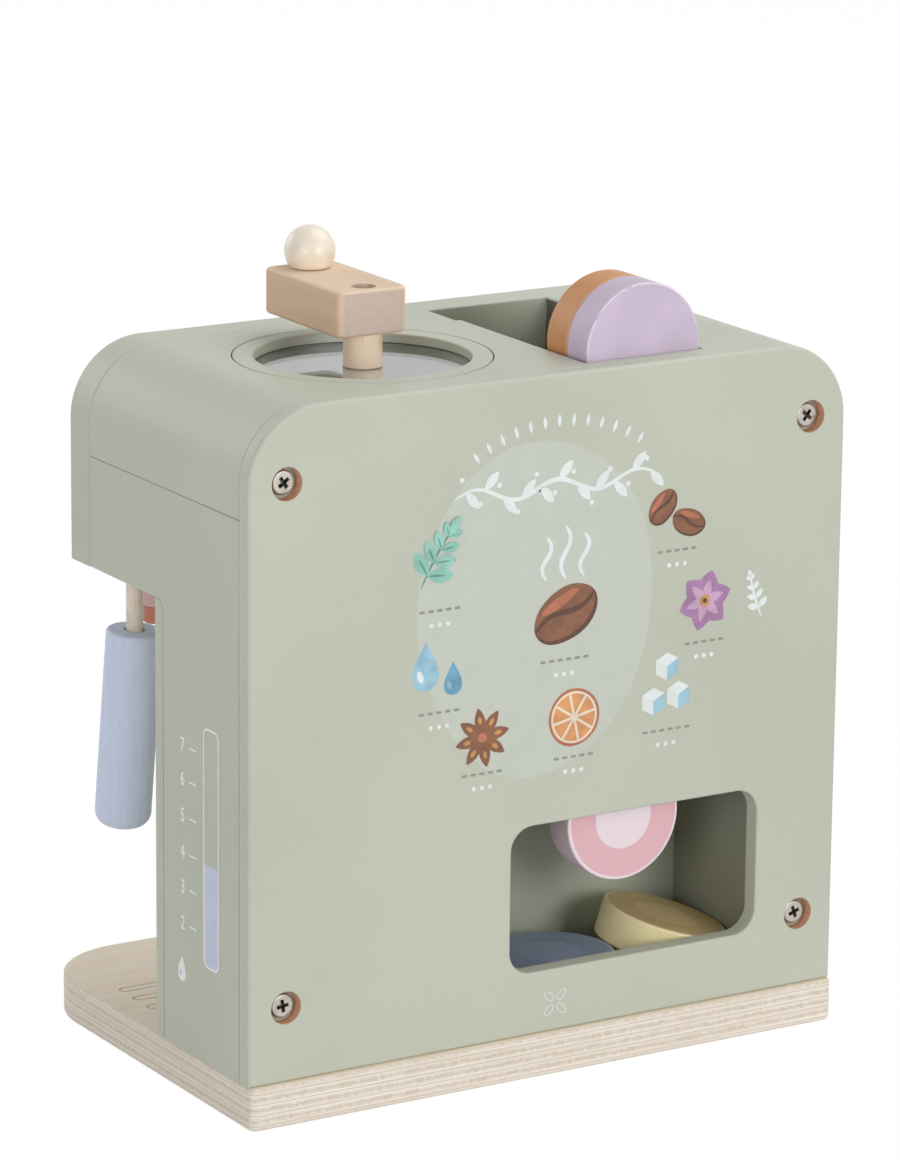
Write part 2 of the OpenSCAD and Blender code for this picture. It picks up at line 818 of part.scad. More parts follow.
module selector_knob() {
    color([0.80, 0.64, 0.65]) difference() {
        pin_y(0, y_front - rest_gap - dial_t, y_front - rest_gap, z_dial, dial_r);
        pin_y(0, y_front - rest_gap - dial_socket, y_front, z_dial, dial_shaft_r);
    }
}

module selector_shaft() {
    color(beech)
        pin_y(0, y_front - rest_gap - dial_socket, y_front_in + rest_gap + dial_collar_t,
              z_dial, dial_shaft_r);
}

module selector_collar() {
    color(beech) difference() {
        pin_y(0, y_front_in + rest_gap, y_front_in + rest_gap + dial_collar_t, z_dial, dial_collar_d / 2);
        pin_y(0, y_front_in, y_front_in + 2 * rest_gap + dial_collar_t, z_dial, dial_shaft_r);
    }
}

// --- the whole -------------------------------------------------------------

base_board();
back_panel();
front_panel();
side_board_right();
side_board_left();
column_front_board();
top_cover();
head_floor();
base_cleats();
base_screws();
panel_dowels();
panel_screws();
compartment_floor();
compartment_wall_inner();
compartment_wall_outer();
compartment_ceiling();
pod_peg();
tray_floor();
tray_rail_inner();
tray_rail_outer();
tray_end();
pod_lilac();
pod_tan();
pod_pink();
pod_yellow();
pod_navy();
grinder_ring();
grinder_window();
grinder_well();
crank_shaft();
crank_arm();
crank_screw();
crank_knob();
knob_pin();
shaft_washer();
shaft_screw();
rope_top();
rope_knot();
wand_rope();
wand_handle();
spout_block();
spout_nozzle();
selector_knob();
selector_shaft();
selector_collar();
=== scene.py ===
# The looks of a wooden toy coffee maker, built round its packed construction model.
# The script's own sizes are in millimetres, and MM turns them into Blender's metres.
import random
from math import atan2, copysign, cos, hypot, pi, radians, sin, sqrt, tau

import bmesh
import bpy
from mathutils import Euler, Matrix, Vector


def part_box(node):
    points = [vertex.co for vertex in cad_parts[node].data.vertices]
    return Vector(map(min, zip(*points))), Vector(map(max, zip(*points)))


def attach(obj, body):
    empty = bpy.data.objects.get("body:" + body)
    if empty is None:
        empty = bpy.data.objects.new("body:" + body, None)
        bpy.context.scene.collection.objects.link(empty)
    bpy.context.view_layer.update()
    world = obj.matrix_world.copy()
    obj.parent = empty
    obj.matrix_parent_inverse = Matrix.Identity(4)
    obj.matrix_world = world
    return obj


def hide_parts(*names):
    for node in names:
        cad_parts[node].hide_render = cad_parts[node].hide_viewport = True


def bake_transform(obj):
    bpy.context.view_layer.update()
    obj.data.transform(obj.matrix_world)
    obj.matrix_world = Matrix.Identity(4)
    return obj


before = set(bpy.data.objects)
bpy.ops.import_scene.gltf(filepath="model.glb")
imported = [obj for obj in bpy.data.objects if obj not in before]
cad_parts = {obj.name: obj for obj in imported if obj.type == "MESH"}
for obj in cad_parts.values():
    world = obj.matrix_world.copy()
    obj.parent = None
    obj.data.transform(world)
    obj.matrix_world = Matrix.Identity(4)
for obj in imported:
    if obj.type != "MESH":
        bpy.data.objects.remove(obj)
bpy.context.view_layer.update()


# === Studio ===
# The toy stands on a pale table top in soft daylight from large white screens.
# The camera looks down a little onto the rear corner that has the level scale.

MM = 0.001

eye = Vector((887.6, 1471.7, 592.5)) * MM
view_turn = radians(148.737)
view_pitch = radians(14.604)
view_roll = radians(0.558)

bpy.ops.object.camera_add()
camera = bpy.context.object
camera.name = "camera"
camera.data.sensor_width = 36
camera.data.lens = 166.75
backward = Vector((sin(view_turn) * cos(view_pitch),
                   -cos(view_turn) * cos(view_pitch),
                   sin(view_pitch)))
level_right = -backward.cross(Vector((0, 0, 1))).normalized()
level_up = backward.cross(level_right)
camera_right = level_right * cos(view_roll) + level_up * sin(view_roll)
camera_up = level_up * cos(view_roll) - level_right * sin(view_roll)
camera.matrix_world = (Matrix.Translation(eye)
                       @ Matrix((camera_right, camera_up, backward)).transposed().to_4x4())
bpy.context.scene.camera = camera


def screen(name, place, size, watts):
    """A white softbox that faces the toy. Its place and size are in metres."""
    bpy.ops.object.light_add(type="AREA", location=place)
    lamp = bpy.context.object
    lamp.name = name
    lamp.data.shape = "DISK"
    lamp.data.size = size
    lamp.data.energy = watts
    middle = Vector((0, 0, 0.12))
    lamp.rotation_euler = (Vector(place) - middle).to_track_quat("Z", "Y").to_euler()


screen("key_screen", (-0.35, 1.85, 0.55), 0.9, 11)
screen("side_screen", (1.45, 1.10, 0.45), 0.8, 7.2)
screen("top_screen", (-0.80, 0.05, 1.60), 1.6, 13)
screen("front_screen", (0.75, -1.80, 0.80), 1.2, 7.5)


def operator(operation, reflected=False):
    """An operator of Tone: it adds a Math node, with its second value first if reflected."""
    def method(self, other):
        return self.math(operation, *((other, self) if reflected else (self, other)))
    return method


class Tone:
    """An output in a node tree. Its operators add Math nodes, and node() adds any other node."""

    def __init__(self, tree, socket=None):
        self.tree = tree
        self.socket = socket

    def node(self, kind, settings=None, links=None, output=0):
        made = self.tree.nodes.new("ShaderNode" + kind)
        for name, value in (settings or {}).items():
            setattr(made, name, value)
        for name, value in (links or {}).items():
            if isinstance(value, Tone):
                self.tree.links.new(value.socket, made.inputs[name])
            else:
                made.inputs[name].default_value = value
        return Tone(self.tree, made.outputs[output])

    def math(self, operation, *values):
        return self.node("Math", {"operation": operation}, dict(enumerate(values)))

    __add__, __radd__ = operator("ADD"), operator("ADD", True)
    __sub__, __rsub__ = operator("SUBTRACT"), operator("SUBTRACT", True)
    __mul__, __rmul__ = operator("MULTIPLY"), operator("MULTIPLY", True)
    __truediv__ = operator("DIVIDE")
    __lt__, __gt__ = operator("LESS_THAN"), operator("GREATER_THAN")

    def __abs__(self):
        return self.math("ABSOLUTE", self)

    def between(self, low, high):
        """0 below low, 1 above high, and a smooth rise between them."""
        return self.node("MapRange", {"interpolation_type": "SMOOTHSTEP"},
                         {"Value": self, "From Min": low, "From Max": high})

    def mix(self, first, second):
        """The first colour where this is 0, the second where it is 1."""
        return self.node("Mix", {"data_type": "RGBA"}, {0: self, 6: first, 7: second}, 2)

    def surface(self, kind):
        """Makes this shader the surface of its Material or World."""
        output = self.tree.nodes.new("ShaderNodeOutput" + kind)
        self.tree.links.new(self.socket, output.inputs["Surface"])


def emptied(owner):
    """The emptied node tree of a material or world, as a tone to build on."""
    owner.use_nodes = True
    owner.node_tree.nodes.clear()
    return Tone(owner.node_tree)


def shade(red, green, blue):
    """A colour as a screen shows it, 0 to 255, as the linear colour of a socket."""
    return tuple((c / 255 / 12.92) if c < 10.3 else ((c / 255 + 0.055) / 1.055) ** 2.4
                 for c in (red, green, blue)) + (1,)


def toned(colour, *factors):
    """The shade of a colour times one factor, or times one for each channel."""
    return shade(*(min(c * k, 255) for c, k in zip(colour, factors * 3)))


def seen(tone):
    """1 for the rays that show the background to the camera, a gloss or a clear pane."""
    path = [tone.node("LightPath", output=name)
            for name in ("Is Camera Ray", "Is Glossy Ray", "Is Transmission Ray")]
    return path[0].math("MAXIMUM", path[0], path[1].math("MAXIMUM", path[1], path[2]))


world = bpy.data.worlds.new("studio")
bpy.context.scene.world = world
sky = emptied(world)
daylight = sky.node("Background", links={"Color": shade(252, 251, 248), "Strength": 0.28})
backdrop = sky.node("Background", links={"Color": (1, 1, 1, 1), "Strength": 1})
sky.node("MixShader", links={0: seen(sky), 1: daylight, 2: backdrop}).surface("World")

bpy.ops.object.select_all(action="DESELECT")
bpy.ops.mesh.primitive_circle_add(vertices=96, radius=9, fill_type="NGON")
table_top = bpy.context.object
table_top.name = "table_top"
table_look = bpy.data.materials.new("white_table")
top = emptied(table_look)
lit_table = top.node("BsdfDiffuse", links={"Color": shade(238, 238, 238)})
white_table = top.node("Emission", links={"Color": (1, 1, 1, 1), "Strength": 1.05})
top.node("MixShader", links={0: seen(top) * 0.92, 1: lit_table, 2: white_table}).surface("Material")
table_top.data.materials.append(table_look)

bpy.context.scene.view_settings.view_transform = "Standard"


# === Base board ===
# A board of birch plywood, 14 mm thick, sawn to shape with its two front corners round.
# Its edges are sanded, and four drip slots are drawn on it with a fine router bit.
# The body stands on it, screwed from below through two beech cleats.

def corners(node):
    """The low and the high corner of a construction node's box, in millimetres."""
    return [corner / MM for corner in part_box(node)]


def alone(*pieces):
    """Object mode, with only these pieces selected and the last of them active."""
    if bpy.context.object and bpy.context.object.mode != "OBJECT":
        bpy.ops.object.mode_set(mode="OBJECT")
    bpy.ops.object.select_all(action="DESELECT")
    for piece in pieces:
        piece.select_set(True)
        bpy.context.view_layer.objects.active = piece


def named(name):
    """Names the new primitive, and puts its place into its mesh."""
    piece = bpy.context.object
    piece.name = name
    piece.data.name = name
    bpy.ops.object.transform_apply(location=True, rotation=True, scale=True)
    return piece


def block(name, low, high):
    """A box from its low corner to its high corner."""
    alone()
    low, high = Vector(low) * MM, Vector(high) * MM
    bpy.ops.mesh.primitive_cube_add(size=1, location=(low + high) / 2, scale=high - low)
    return named(name)


def rod(name, start, end, radius, sides=64):
    """A round bar from the middle of one end to the middle of the other."""
    alone()
    start, end = Vector(start) * MM, Vector(end) * MM
    bpy.ops.mesh.primitive_cylinder_add(
        vertices=sides, radius=radius * MM, depth=(end - start).length, location=(start + end) / 2,
        rotation=(end - start).to_track_quat("Z", "Y").to_euler())
    return named(name)


def upright(name, place, foot, top, radius, sides=64):
    """A round bar along Z. Only the x and y of its place count."""
    x, y = place[:2]
    return rod(name, (x, y, foot), (x, y, top), radius, sides)


def pick(piece, kind, test):
    """Edit mode, with only the edges or faces selected whose middle and direction pass the test."""
    alone(piece)
    bpy.ops.object.mode_set(mode="EDIT")
    bpy.ops.mesh.select_mode(type=kind)
    bpy.ops.mesh.select_all(action="DESELECT")
    mesh = bmesh.from_edit_mesh(piece.data)
    if kind == "FACE":
        for face in mesh.faces:
            face.select_set(bool(test(face.calc_center_median() / MM, face.normal)))
    else:
        for edge in mesh.edges:
            start, end = (corner.co / MM for corner in edge.verts)
            edge.select_set(bool(test((start + end) / 2, (end - start).normalized())))
    mesh.select_flush_mode()
    bmesh.update_edit_mesh(piece.data)


def ease(piece, radius, steps, test):
    """Rounds the edges that pass the test."""
    pick(piece, "EDGE", test)
    bpy.ops.mesh.bevel(offset=radius * MM, segments=steps, profile=0.5, affect="EDGES")
    bpy.ops.object.mode_set(mode="OBJECT")


def near(value, target, slack=0.02):
    return abs(value - target) < slack


def at(axis, *values):
    """A test for edges and faces that lie at one of these values of an axis."""
    return lambda p, d: any(near(getattr(p, axis), value) for value in values)


def runs(axis):
    """A test for edges that run along an axis."""
    return lambda p, d: abs(getattr(d, axis)) > 0.9


def reach(p, axis=(0, 0)):
    """How far a point is from an upright axis."""
    return hypot(p.x - axis[0], p.y - axis[1])


def rim(z, radius, axis=(0, 0)):
    """A test for the edges round an upright axis at one height."""
    return lambda p, d: near(p.z, z) and near(reach(p, axis), radius, 0.1)


def whole(piece):
    """Edit mode, with the whole piece selected."""
    alone(piece)
    bpy.ops.object.mode_set(mode="EDIT")
    bpy.ops.mesh.select_all(action="SELECT")


def face_out():
    """Turns the faces of the piece in edit mode outward, and leaves that mode."""
    bpy.ops.mesh.select_all(action="SELECT")
    bpy.ops.mesh.normals_make_consistent(inside=False)
    bpy.ops.object.mode_set(mode="OBJECT")


def cut(piece, *tools):
    """Cuts the tools out of the piece, and takes them away."""
    for tool in tools:
        alone(piece)
        saw = piece.modifiers.new("cut", "BOOLEAN")
        saw.operation = "DIFFERENCE"
        saw.solver = "EXACT"
        saw.object = tool
        bpy.ops.object.modifier_apply(modifier=saw.name)
        bpy.data.objects.remove(tool)


def settle(piece, look, slot, body, *nodes):
    """Shades the finished piece, gives it its finish, and sets it on its body in the nodes' place."""
    alone(piece)
    bpy.ops.object.shade_smooth_by_angle(angle=radians(40))
    even = piece.modifiers.new("even", "WEIGHTED_NORMAL")
    even.keep_sharp = True
    bpy.ops.object.modifier_apply(modifier=even.name)
    if not piece.data.materials:
        piece.data.materials.append(look)
    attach(piece, body)
    if nodes:
        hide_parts(*nodes)


def finish(name, look, *details):
    """A material. look turns a point on the piece, in metres, and details into the shader's sockets."""
    made = bpy.data.materials.new(name)
    point = emptied(made).node("TexCoord", output="Object")
    point.node("BsdfPrincipled", links=look(point, *details)).surface("Material")
    return made


def stretch(point, scale, shift=(0, 0, 0), turn=(0, 0, 0)):
    return point.node("Mapping", links={"Vector": point, "Location": shift, "Rotation": turn,
                                        "Scale": scale})


def noise(point, scale, detail=2.0, roughness=0.5):
    return point.node("TexNoise", links={"Vector": point, "Scale": scale, "Detail": detail,
                                         "Roughness": roughness})


def bump(height, strength, depth):
    """A normal that follows a height from 0 to 1, depth millimetres high."""
    return height.node("Bump", links={"Height": height, "Strength": strength, "Distance": depth * MM})


def axes(point):
    """The point's x, y and z, each as a tone."""
    return [point.node("SeparateXYZ", links={"Vector": point}, output=axis) for axis in "XYZ"]


ply = 1.75  # thickness of one veneer


def plywood_look(point):
    layer = axes(point)[2] / (ply * MM)
    wobble = (noise(stretch(point, (14, 14, 60)), 1, 2) - 0.5) * 0.35
    turn = (layer + wobble).math("FRACT", (layer + wobble) / 2)
    cross = abs(turn - 0.5).between(0.21, 0.29)
    glue = abs((layer + wobble).math("PINGPONG", layer + wobble, 0.5)).between(0.0, 0.16)
    along = noise(stretch(point, (22, 22, 1500)), 1, 3, 0.6)
    across = noise(stretch(point, (700, 700, 500)), 1, 2)
    pale = along.between(0.3, 0.7).mix(shade(236, 225, 210), shade(252, 245, 235))
    end = across.between(0.3, 0.7).mix(shade(222, 208, 192), shade(242, 232, 220))
    edge = cross.mix(pale, end)
    edge = glue.mix(shade(212, 198, 182), edge)
    face_grain = noise(stretch(point, (9, 260, 9)), 1, 4, 0.6)
    pores = noise(stretch(point, (60, 1800, 60)), 1, 2).between(0.60, 0.72)
    face = face_grain.between(0.25, 0.75).mix(shade(250, 232, 211), shade(255, 243, 226))
    face = (pores * 0.25).mix(face, shade(216, 193, 167))
    on_face = point.node("TexCoord", output="Normal")
    flat = abs(axes(on_face)[2]).between(0.80, 0.97)
    grain = flat.math("MULTIPLY_ADD", flat, face_grain - along, along)
    return {"Base Color": flat.mix(edge, face), "Roughness": 0.52 + grain * 0.14,
            "Normal": bump(grain, 0.35, 0.12)}


plywood = finish("birch_plywood", plywood_look)

low, high = corners("base_board")
base_top = high.z
base_corner = 30
slot_length, slot_width, slot_line, slot_depth = 201, 4.4, 0.8, 0.6
slot_pitch, slot_count = 9.7, 4
base_screw = 6.6  # width of a countersunk head
first_slot = corners("column_front_board")[0].y - 14.4

base_board = block("birch_base", low, high)
ease(base_board, base_corner, 24, lambda p, d: abs(d.z) > 0.9 and p.y < 0)
ease(base_board, 3, 6, lambda p, d: abs(d.z) > 0.9 and near(p.y, high.y))
ease(base_board, 1.6, 5, at("z", low.z))
ease(base_board, 0.7, 3, at("z", high.z))


def slot_ring(y):
    """The outline of one drip slot, as a low wall to cut with."""
    alone()
    bpy.ops.mesh.primitive_plane_add(size=1, location=(0, y * MM, (base_top - slot_depth) * MM))
    bpy.context.object.scale = (slot_length * MM, slot_width * MM, 1)
    ring = named("slot_ring")
    whole(ring)
    bpy.ops.mesh.bevel(offset=slot_width / 2 * MM * 0.98, segments=12, profile=0.5, affect="VERTICES")
    bpy.ops.mesh.select_mode(type="FACE")
    bpy.ops.mesh.select_all(action="SELECT")
    bpy.ops.mesh.inset(thickness=slot_line * MM, depth=0)
    bpy.ops.mesh.delete(type="FACE")
    bpy.ops.mesh.select_all(action="SELECT")
    bpy.ops.mesh.extrude_region_move(TRANSFORM_OT_translate={"value": (0, 0, 2 * slot_depth * MM)})
    face_out()
    return ring


cut(base_board, *(slot_ring(first_slot - i * slot_pitch) for i in range(slot_count)))
screw_low, screw_high = corners("base_screws")
for x in (screw_low.x + base_screw / 2, screw_high.x - base_screw / 2):
    for y in (screw_low.y + base_screw / 2, screw_high.y - base_screw / 2):
        cut(base_board, upright("countersink", (x, y), low.z - 1, low.z + 0.6, base_screw / 2 + 0.15, 48))
settle(base_board, plywood, "plywood", "root", "base_board")


# === Side boards and column ===
# Painted fibreboard. Each side board is sawn in one piece, column and head together,
# with a small round corner below the head; the column's front board is glued between
# their front edges and shows its own edge at the side.

def paint_look(point, pale, gloss=0.46, grit=0.5):
    """Sprayed matt paint: an even coat with a faint tooth and slow clouds of tone."""
    clouds = noise(point, 9, 3).between(0.25, 0.75)
    tooth = noise(point, 1400, 3, 0.6)
    specks = noise(point, 420, 2).between(0.66, 0.74)
    body = clouds.mix(toned(pale, 0.975), toned(pale, 1.015))
    body = (specks * 0.12).mix(body, toned(pale, 0.86))
    return {"Base Color": body, "Roughness": gloss + (tooth - 0.5) * 0.22,
            "Normal": bump(tooth, grit, 0.018)}


sage = finish("sage_paint", paint_look, (198, 202, 186))

fillet = 3
seam = 0.5  # the boards meet with a fine gap, and the faces inside it are painted dark as painted shade
# A near-black colour for the faces in the seams: painted shade for the gap between boards.
seam_shade = finish("painted_seam_shade", lambda point: {
    "Base Color": noise(point, 700, 2).mix(shade(60, 56, 46), shade(88, 82, 68)), "Roughness": 0.9})


def cover_faces(piece, main, look, test):
    """Gives the faces that pass the test a finish that differs from the piece's main one."""
    if not piece.data.materials:
        piece.data.materials.append(main)
    piece.data.materials.append(look)
    pick(piece, "FACE", test)
    piece.active_material_index = len(piece.data.materials) - 1
    bpy.ops.object.material_slot_assign()


def side_board(name, node):
    low, high = corners(node)
    under = corners("head_floor")[0].z
    column_face = corners("column_front_board")[1].y
    board = block(name, (low.x, column_face, low.z), high)
    pick(board, "FACE", lambda p, n: True)
    bpy.ops.mesh.bisect(plane_co=(0, 0, under * MM), plane_no=(0, 0, 1))
    pick(board, "FACE", lambda p, n: n.y < -0.9 and p.z > under)
    bpy.ops.mesh.extrude_region_move(TRANSFORM_OT_translate={"value": (0, (low.y - column_face) * MM, 0)})
    ease(board, fillet, 8, lambda p, d: abs(d.x) > 0.9 and near(p.z, under) and near(p.y, column_face))
    ease(board, 0.35, 2, lambda p, d: abs(d.x) < 0.1 and (
        near(abs(p.x), max(abs(low.x), abs(high.x))) and not near(p.z, low.z)))
    pick(board, "FACE", lambda p, n: n.z > 0.9 and near(p.z, high.z))
    bpy.ops.transform.translate(value=(0, 0, -seam * MM))
    # The top face in the seam is painted dark, as painted shade.
    cover_faces(board, sage, seam_shade, lambda p, n: n.z > 0.9 and near(p.z, high.z - seam))
    settle(board, sage, "sage_paint", "root", node)


side_board("right_side", "side_board_right")
side_board("left_side", "side_board_left")

low, high = corners("column_front_board")
front_board = block("column_front", low, high)
side_wall = 6  # the side boards' thickness, over which the corner is cut off round
round_y, round_z = high.y - fillet, high.z - fillet
for edge_x in (low.x, high.x):
    outward = copysign(1, edge_x)
    left, right = sorted((edge_x - outward * side_wall, edge_x + outward * 0.5))
    corner_cut = block("corner_cut", (left, round_y, round_z), (right, high.y + 1, high.z + 1))
    cut(corner_cut, rod("round", (edge_x - 8, round_y, round_z), (edge_x + 8, round_y, round_z), fillet))
    cut(front_board, corner_cut)
ease(front_board, 0.5, 3, lambda p, d: near(p.y, low.y) and abs(d.z) > 0.9)
ease(front_board, 0.5, 2, lambda p, d: near(p.y, high.y) and near(abs(p.x), high.x) and abs(d.z) > 0.9)
# The round corner faces in the seam are painted dark, as painted shade.
cover_faces(front_board, sage, seam_shade, lambda p, n: (
    n.y > 0.6 and abs(n.x) > 0.2 and near(p.y, high.y, 0.3)))
settle(front_board, sage, "sage_paint", "root", "column_front_board")


# === Head: front panel, floor and top cover ===
# The head is a box of the same painted board. The front panel is 14 mm thick; the top
# cover is bent over both shoulders, and meets the side boards at a fine seam.

shoulder = 25


def arched(name, low, high, radius, steps=24):
    """A board with two round shoulders, which run along Y."""
    board = block(name, low, high)
    ease(board, radius, steps, lambda p, d: abs(d.y) > 0.9 and near(p.z, high[2]))
    return board


low, high = corners("front_panel")
front_panel = arched("front_panel_board", low, high, shoulder)
ease(front_panel, 1.4, 4, at("y", low.y))
ease(front_panel, 0.6, 3, at("y", high.y))
dial_z = sum(corner.z for corner in corners("selector_shaft")) / 2
dial_bore = 5.08
cut(front_panel, rod("shaft_hole", (0, low.y - 1, dial_z), (0, high.y + 1, dial_z), dial_bore))
settle(front_panel, sage, "sage_paint", "root", "front_panel")

low, high = corners("head_floor")
pivot = Vector((97, -25.5, 155.5))
rope_hole_radius = 3.4
head_floor = block("head_floor_board", low, high)
cut(head_floor, upright("rope_hole", pivot, low.z - 1, high.z + 1, rope_hole_radius, 48))
ease(head_floor, 0.5, 3, rim(low.z, rope_hole_radius, pivot))
settle(head_floor, sage, "sage_paint", "root", "head_floor")

low, high = corners("top_cover")
tray_low, tray_high = corners("tray_floor")
ring_low, ring_high = corners("grinder_ring")
axis = ((ring_low.x + ring_high.x) / 2, (ring_low.y + ring_high.y) / 2)
ring_radius = (ring_high.x - ring_low.x) / 2
ring_gap = 0.4
cover_under = ring_low.z
cover_inside = corners("head_floor")[1].x
tray_wall = 6
tray_step = 1.8
tray_wide_length = 18.3
tray_front, tray_end_y = low.y, corners("tray_end")[0].y
tray_middle, tray_reach = (tray_low.x + tray_high.x) / 2, 26

top_cover = arched("top_cover_board", low, high, shoulder)
hollow = arched("hollow", (-cover_inside, low.y - 1, low.z - 1), (cover_inside, high.y + 1, cover_under),
                shoulder - (high.x - cover_inside))
ring_hole = upright("ring_hole", axis, cover_under - 3, high.z + 3, ring_radius + ring_gap, 128)
tray_hole = block("tray_hole", (tray_low.x + tray_wall, low.y - 2, cover_under - 3),
                  (tray_high.x - tray_wall, tray_end_y, high.z + 3))
tray_hole_front = block("tray_hole_front", (tray_low.x + tray_wall + 2, low.y - 2, cover_under - 3),
                        (tray_high.x - tray_wall + tray_step, low.y + tray_wide_length, high.z + 3))
cut(top_cover, hollow, ring_hole, tray_hole, tray_hole_front)


def in_tray(p):
    """Whether a point lies on the edge or wall of the tray's opening."""
    return abs(p.x - tray_middle) < tray_reach and tray_front + 0.5 < p.y < tray_end_y + 0.5


ease(top_cover, 0.7, 3, lambda p, d: near(p.z, high.z) and in_tray(p))
ease(top_cover, 0.3, 2, rim(high.z, ring_radius + ring_gap, axis))
ease(top_cover, 0.2, 2, lambda p, d: near(abs(p.x), high.x, 0.05) and near(p.z, low.z))
ease(top_cover, 0.5, 3, at("y", low.y, high.y))


# === Pod compartment and pod tray ===
# Plain painted boards, glued up as two open boxes: one behind the window for the used
# pods, with a dowel peg in its front wall, and a shallow tray let into the top.

# The sage paint made darker, as painted shade inside the compartment.
inside = finish("sage_paint_inside_painted_shade", paint_look, (180, 183, 167))


def wood_look(point, pale, dark, along, gloss=0.45, sides=0.0):
    """Sanded wood with its grain along one axis. Sides is how much darker its faces across X are painted,
    as painted shade.
    """
    streaks = noise(stretch(point, tuple(12 if a else 330 for a in along)), 1, 4, 0.62)
    broad = noise(stretch(point, tuple(5 if a else 60 for a in along)), 1, 2)
    flecks = noise(stretch(point, tuple(160 if a else 1500 for a in along)), 1, 1).between(0.63, 0.72)
    tone = (streaks * 0.5 + broad * 0.5).between(0.22, 0.78)
    body = tone.mix(shade(*dark), shade(*pale))
    body = (flecks * 0.30).mix(body, toned(dark, 0.80))
    on_face = axes(point.node("TexCoord", output="Normal"))
    # Faces across X are made darker and redder, as painted shade on the sides.
    side_shade = tone.mix(toned(dark, 0.955, 0.915, 0.885), toned(pale, 0.955, 0.915, 0.885))
    body = (abs(on_face[0]).between(0.7, 0.95) * sides).mix(body, side_shade)
    across = abs(on_face[0] * along[0] + on_face[1] * along[1] + on_face[2] * along[2])
    mottle = noise(point, 520, 3, 0.6)
    sawn = mottle.between(0.1, 0.9).mix(toned(dark, 0.91, 0.92, 0.97), toned(pale, 0.90, 0.91, 0.96))
    body = across.between(0.80, 0.97).mix(body, sawn)
    return {"Base Color": body, "Roughness": gloss + streaks * 0.15,
            "Normal": bump(streaks - flecks * 0.3, 0.4, 0.06)}


beech_y = finish("beech_along_y", wood_look, (228, 205, 176), (206, 176, 143), (0, 1, 0))
# Beech along Z, made paler than the other beech as painted light, so that the dowel under the arm looks
# lit.
lit_beech_z = finish("beech_along_z_painted_light", wood_look, (255, 237, 211), (254, 222, 191), (0, 0, 1))


def refinish(look, slot, *nodes):
    """Gives construction nodes that keep their own shape a finish of their own."""
    for node in nodes:
        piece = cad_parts[node]
        piece.data.materials.clear()
        piece.data.materials.append(look)


# The sage paint made much darker, as painted shade in the pod tray.
tray_shade = finish("sage_paint_tray_painted_shade", paint_look, (111, 113, 102))
# A dark grey for the grinder's well, as painted shade under the acrylic disc.
well_shade = finish("well_painted_shade", paint_look, (114, 114, 110))
# The compartment's side walls get a still darker copy of the sage paint, as painted shade.
wall_shade = finish("sage_paint_wall_painted_shade", paint_look, (146, 148, 133))
refinish(inside, "sage_paint", "compartment_floor", "compartment_ceiling")
refinish(wall_shade, "sage_paint", "compartment_wall_inner", "compartment_wall_outer")
refinish(well_shade, "sage_paint", "grinder_well")
# The walls of the tray's opening get the darker sage, as painted shade.
cover_faces(top_cover, sage, tray_shade, lambda p, n: abs(n.z) < 0.3 and in_tray(p))
# The cover's under face in the seam is painted dark, as painted shade.
cover_faces(top_cover, sage, seam_shade, lambda p, n: n.z < -0.9 and near(p.z, low.z))
settle(top_cover, sage, "sage_paint", "root", "top_cover")
refinish(tray_shade, "sage_paint", "tray_floor", "tray_rail_inner", "tray_rail_outer", "tray_end")
refinish(beech_y, "beech", "pod_peg", "panel_dowels", "base_cleats")


# === Back panel ===
# A fibreboard panel with round shoulders, sprayed on both sides, with a window sawn in
# it. Four screws in deep counterbores hold it; the bores show the board's brown core.

low, high = corners("back_panel")
panel_face = high.y
window_width, window_height, window_round = 94, 49, 8
window_middle = Vector((-32.4, 0, 59.5))
screw_places = [(x, z) for x in (-96.5, 96.5) for z in (38.5, 206)]
bore_radius, bore_depth, shank_radius = 5.3, 4.2, 1.75

back_panel = arched("rear_panel", low, high, shoulder)
ease(back_panel, 1.5, 5, at("y", high.y))
ease(back_panel, 0.5, 3, at("y", low.y))
window = block("window", window_middle + Vector((-window_width / 2, low.y - 1, -window_height / 2)),
               window_middle + Vector((window_width / 2, high.y + 1, window_height / 2)))
ease(window, window_round, 12, runs("y"))
cut(back_panel, window)
for x, z in screw_places:
    cut(back_panel, rod("bore", (x, high.y - bore_depth, z), (x, high.y + 1, z), bore_radius),
        rod("shank_hole", (x, low.y - 1, z), (x, high.y, z), shank_radius, 24))


def from_screw(p):
    """How far a point is from the nearest screw's axis."""
    return min(hypot(p.x - x, p.z - z) for x, z in screw_places)


ease(back_panel, 0.8, 3, lambda p, d: near(p.y, high.y)
     and near(p.x, window_middle.x, window_width / 2 + 0.1)
     and near(p.z, window_middle.z, window_height / 2 + 0.1))
ease(back_panel, 0.25, 2, lambda p, d: near(p.y, high.y) and near(from_screw(p), bore_radius, 0.06))


def core_look(point):
    fibres = noise(stretch(point, (900, 250, 900)), 1, 3)
    return {"Base Color": fibres.mix(shade(196, 140, 106), shade(232, 184, 150)), "Roughness": 0.8,
            "Normal": bump(fibres, 0.6, 0.1)}


core = finish("raw_fibreboard", core_look)
cover_faces(back_panel, sage, core, lambda p, n: (
    p.y < high.y - 0.3 and abs(n.y) < 0.5 and from_screw(p) < bore_radius + 0.05))
# The eased faces at the panel's back corners are painted dark, as painted shade in the seam.
cover_faces(back_panel, sage, seam_shade, lambda p, n: (
    -0.97 < n.y < -0.55 and abs(p.x) > high.x - 1 and near(p.y, low.y, 0.4)))
foot_gap = 0.25  # between the panel and the base board
pick(back_panel, "FACE", lambda p, n: n.z < -0.9 and near(p.z, low.z))
bpy.ops.transform.translate(value=(0, 0, foot_gap * MM))
settle(back_panel, sage, "sage_paint", "root", "back_panel")


